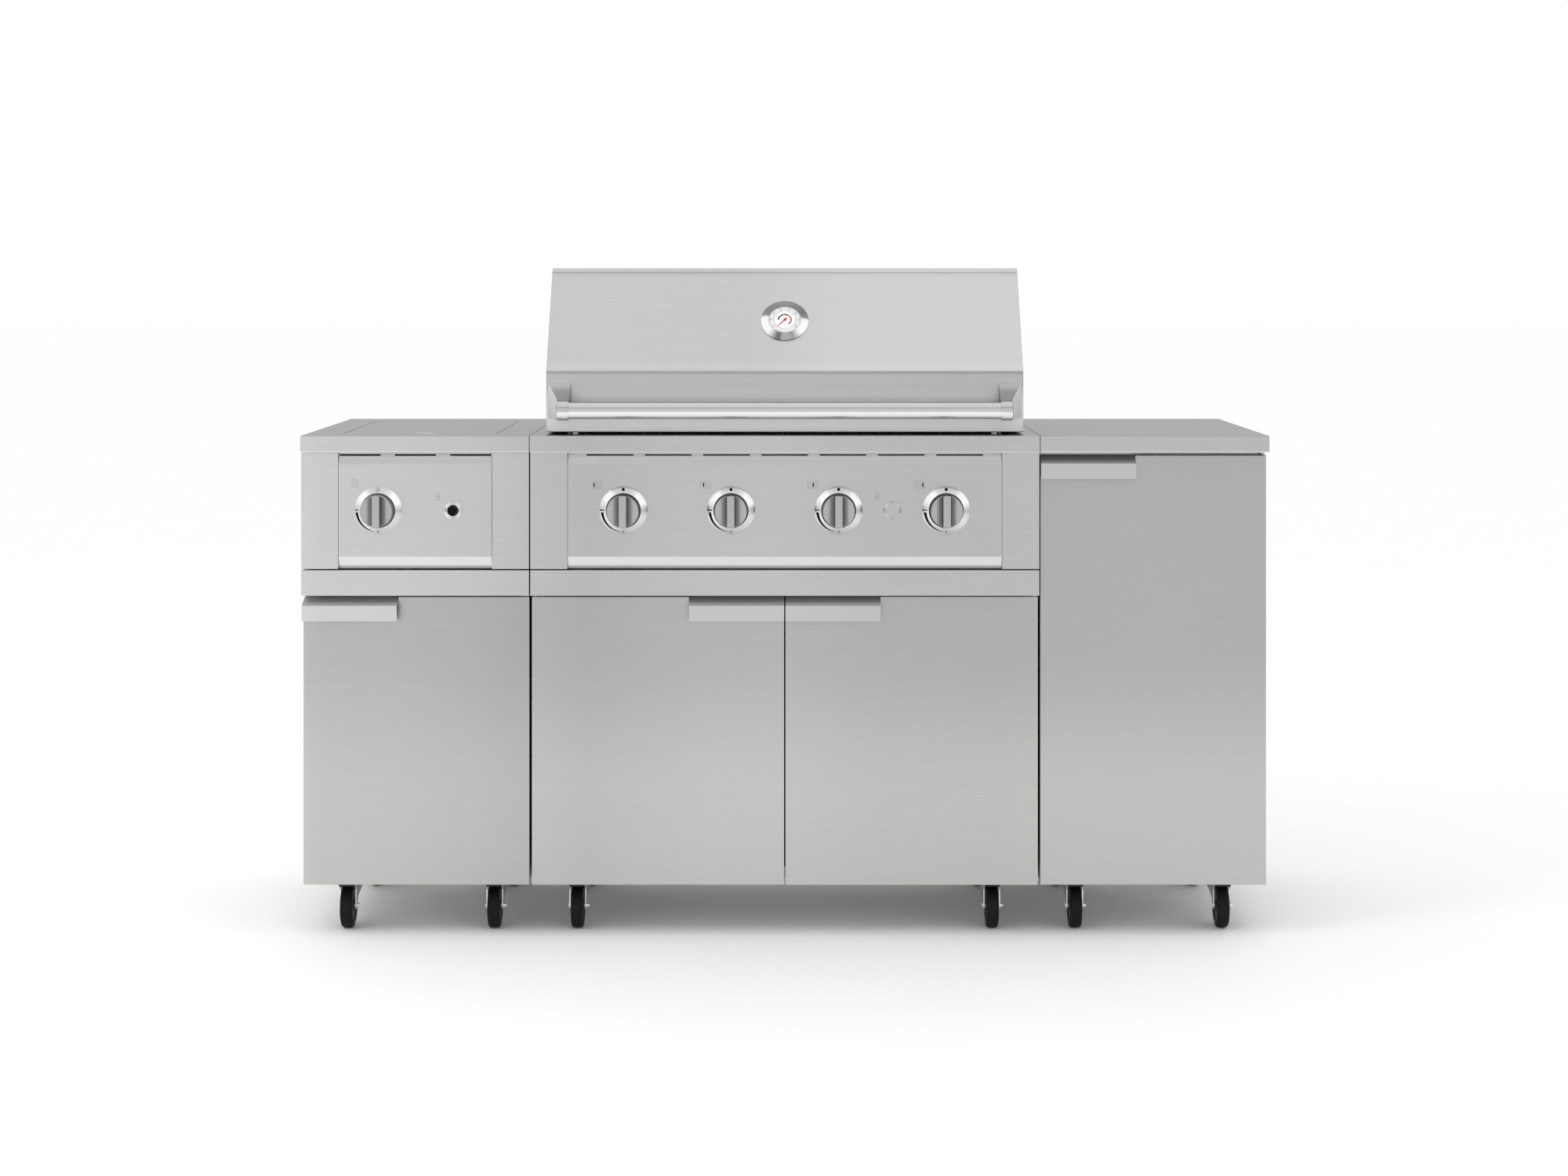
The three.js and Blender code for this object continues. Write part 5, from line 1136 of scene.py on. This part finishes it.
def leg(side, front_y, axle_y):
    """A leg of the fork: a round eye, a hollowed rear edge, and at the top a lip that reaches
    forward and a shoulder that bellies out to the race."""
    bm = bmesh.new()
    back_y = front_y + leg_length
    eye = 7.5 * mm
    line = [(front_y - 14 * mm, fork_top), (front_y - 14 * mm, 82 * mm), (front_y - 9 * mm, 77.5 * mm),
            (front_y - 3 * mm, 74 * mm), (front_y, 70 * mm), (front_y, wheel_radius)]
    for step in range(1, 9):
        angle = math.radians(180 + 22.5 * step)
        line.append((axle_y + eye * math.cos(angle), wheel_radius + eye * math.sin(angle)))
    for step in range(1, 9):
        share = step / 8
        line.append((axle_y + eye + (back_y - axle_y - eye) * share ** 1.5,
                     wheel_radius + 2 * mm + (fork_top - wheel_radius - 12 * mm) * share ** 0.8))
    line.append((back_y, fork_top))
    bm.faces.new([bm.verts.new((side * leg_inner, y, z)) for y, z in line])
    deepened(bm, (side * (leg_outer - leg_inner), 0, 0))
    for cut in range(8):
        sliced(bm, (0, 0, (50 + 5 * cut) * mm), (0, 0, 1))
        sliced(bm, (0, front_y + 7 * cut * mm, 0), (0, 1, 0))
    for vert in bm.verts:
        rise = min(1, max(0, (vert.co.z - 46 * mm) / (36 * mm)))
        run = min(1, max(0, (vert.co.y - front_y - 4 * mm) / (34 * mm)))
        vert.co.x += side * 6.4 * mm * rise * rise * (3 - 2 * rise) * run * run * (3 - 2 * run)
    bmesh.ops.recalc_face_normals(bm, faces=bm.faces)
    for face in bm.faces:
        face.smooth = True
        # The legs' front edges take the painted highlight.
        face.material_index = 1 if abs(face.normal.x) < 0.5 and face.normal.y < -0.2 else 0
    return bm


def rounded_block(low, high, radius):
    """A block between two corners, its edges rounded."""
    bm = bmesh.new()
    bmesh.ops.create_cube(bm, size=1)
    bmesh.ops.scale(bm, vec=Vector(high) - Vector(low), verts=bm.verts)
    bmesh.ops.translate(bm, vec=(Vector(high) + Vector(low)) / 2, verts=bm.verts)
    rounded(bm, bm.edges[:], radius, 3)
    return bm


for module in ("left", "centre", "right"):
    for row in ("front", "rear"):
        for end in ("left", "right"):
            name = f"{module}_{row}_{end}"
            low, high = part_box(name + "_fork")
            wheel_low, wheel_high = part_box(name + "_wheel")
            x = (wheel_low.x + wheel_high.x) / 2
            axle_y = (wheel_low.y + wheel_high.y) / 2
            axle = seat((x, axle_y, wheel_radius), (1, 0, 0), (0, 0, 1))
            wheel = gathered([(turned(tyre_line, axle, 72), 0), (turned(hub_line, axle, 48), 1),
                              (turned(rim_line, axle, 72), 2),
                              (turned([(r, -h) for r, h in rim_line], axle, 72), 2)])
            finished(name + "_tyre", wheel, [tyre, hub_black, rim_grey], name + "_wheel",
                     replaced=[name + "_wheel"], smooth=32)
            upright = seat((x, axle_y + pin_offset, 0), (0, 0, 1), (0, 1, 0))
            parts = []
            for side in (-1, 1):
                part = leg(side, low.y, axle_y)
                bmesh.ops.translate(part, vec=(x, 0, 0), verts=part.verts)
                parts.append((part, None))
            parts.append((rounded_block((x - leg_outer, low.y, fork_top - 2.2 * mm),
                                        (x + leg_outer, low.y + leg_length, fork_top), 0.8 * mm), 0))
            parts += [(turned(race_line, upright, 48), 0), (turned(bolt_line, axle, 32), 1)]
            parts.append((rounded_block((x - tread_half, low.y - 27 * mm, 80.6 * mm),
                                        (x + tread_half, low.y + 8 * mm, 85.6 * mm), 1.6 * mm), 2))
            finished(name + "_fork_press", gathered(parts), [zinc, zinc_edge_highlight, hub_black],
                     name + "_fork", replaced=[name + "_fork"], smooth=35)

# Seals: black sealant run into the groove between each two worktops, over the top and down
# the front, and a strip of black foam under the back edge of the middle one.
seal_black = moulded("seal_black", tint(10, 10, 10), 0.6, 1200, 0.2)
seal_line = [(-0.8, -0.12), (-0.3, -0.8), (-0.1, -1.4), (0.1, -1.4), (0.3, -0.8), (0.8, -0.12),
             (0, -0.06)]


def bead(place, along, outward, length):
    """A run of sealant along a way, its face turned outward."""
    bm = bmesh.new()
    bm.faces.new([bm.verts.new((x * mm, y * mm, 0)) for x, y in seal_line])
    deepened(bm, (0, 0, length))
    bmesh.ops.recalc_face_normals(bm, faces=bm.faces)
    bmesh.ops.transform(bm, matrix=seat(place, along, outward), verts=bm.verts)
    return bm


low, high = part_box("grill_worktop")
foam = rounded_block((low.x + 2 * mm, high.y - 18 * mm, low.z),
                     (high.x - 2 * mm, high.y - 1.8 * mm, low.z + 6 * mm), 0.8 * mm)
seals = [(foam, 0)]
bead_end = 0.3 * mm
left_seam = (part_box("side_burner_worktop")[1].x + low.x) / 2
right_seam = (high.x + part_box("right_worktop")[0].x) / 2
for x in (left_seam, right_seam):
    over = bead((x, low.y + bead_end, high.z), (0, 1, 0), (0, 0, 1), high.y - low.y - 2 * bead_end)
    down = bead((x, low.y, high.z - bead_end), (0, 0, -1), (0, -1, 0), high.z - low.z - 2 * bead_end)
    seals += [(over, 0), (down, 0)]
finished("worktop_seals", gathered(seals), [seal_black], "island", smooth=35)

# Inside the grill: the gas rail with its valves and tube burners, the heat tents over them,
# two welded wire grates and the warming rack, all of stainless.
fire_steel = brushed("fire_steel", tint(168, 166, 162), rough=0.42, contrast=0.8)
wire_steel = polished("wire_steel", tint(188, 187, 184), 0.28)
for node in ("burner_set", "side_burner"):
    eased(node, "island", [fire_steel], 0.3 * mm, 1)
for node in ("left_cooking_grate", "right_cooking_grate", "warming_rack"):
    eased(node, "island", [wire_steel], 0.8 * mm, 2)

# Pan support: a grid of iron bars, enamelled black, that rests in the sunk tray over the
# side burner.
enamel = moulded("enamel", tint(22, 22, 23), 0.28, 500)
eased("pan_support", "island", [enamel], 0.8 * mm, 2)

# Grease tray: a pan of plain sheet that slides out at the back on its two rims, with a
# face plate to pull it by.
tray_steel = brushed("tray_steel", tint(178, 178, 175), rough=0.4, contrast=0.7)
eased("grease_tray", "grease_tray", [tray_steel], 0.4 * mm)
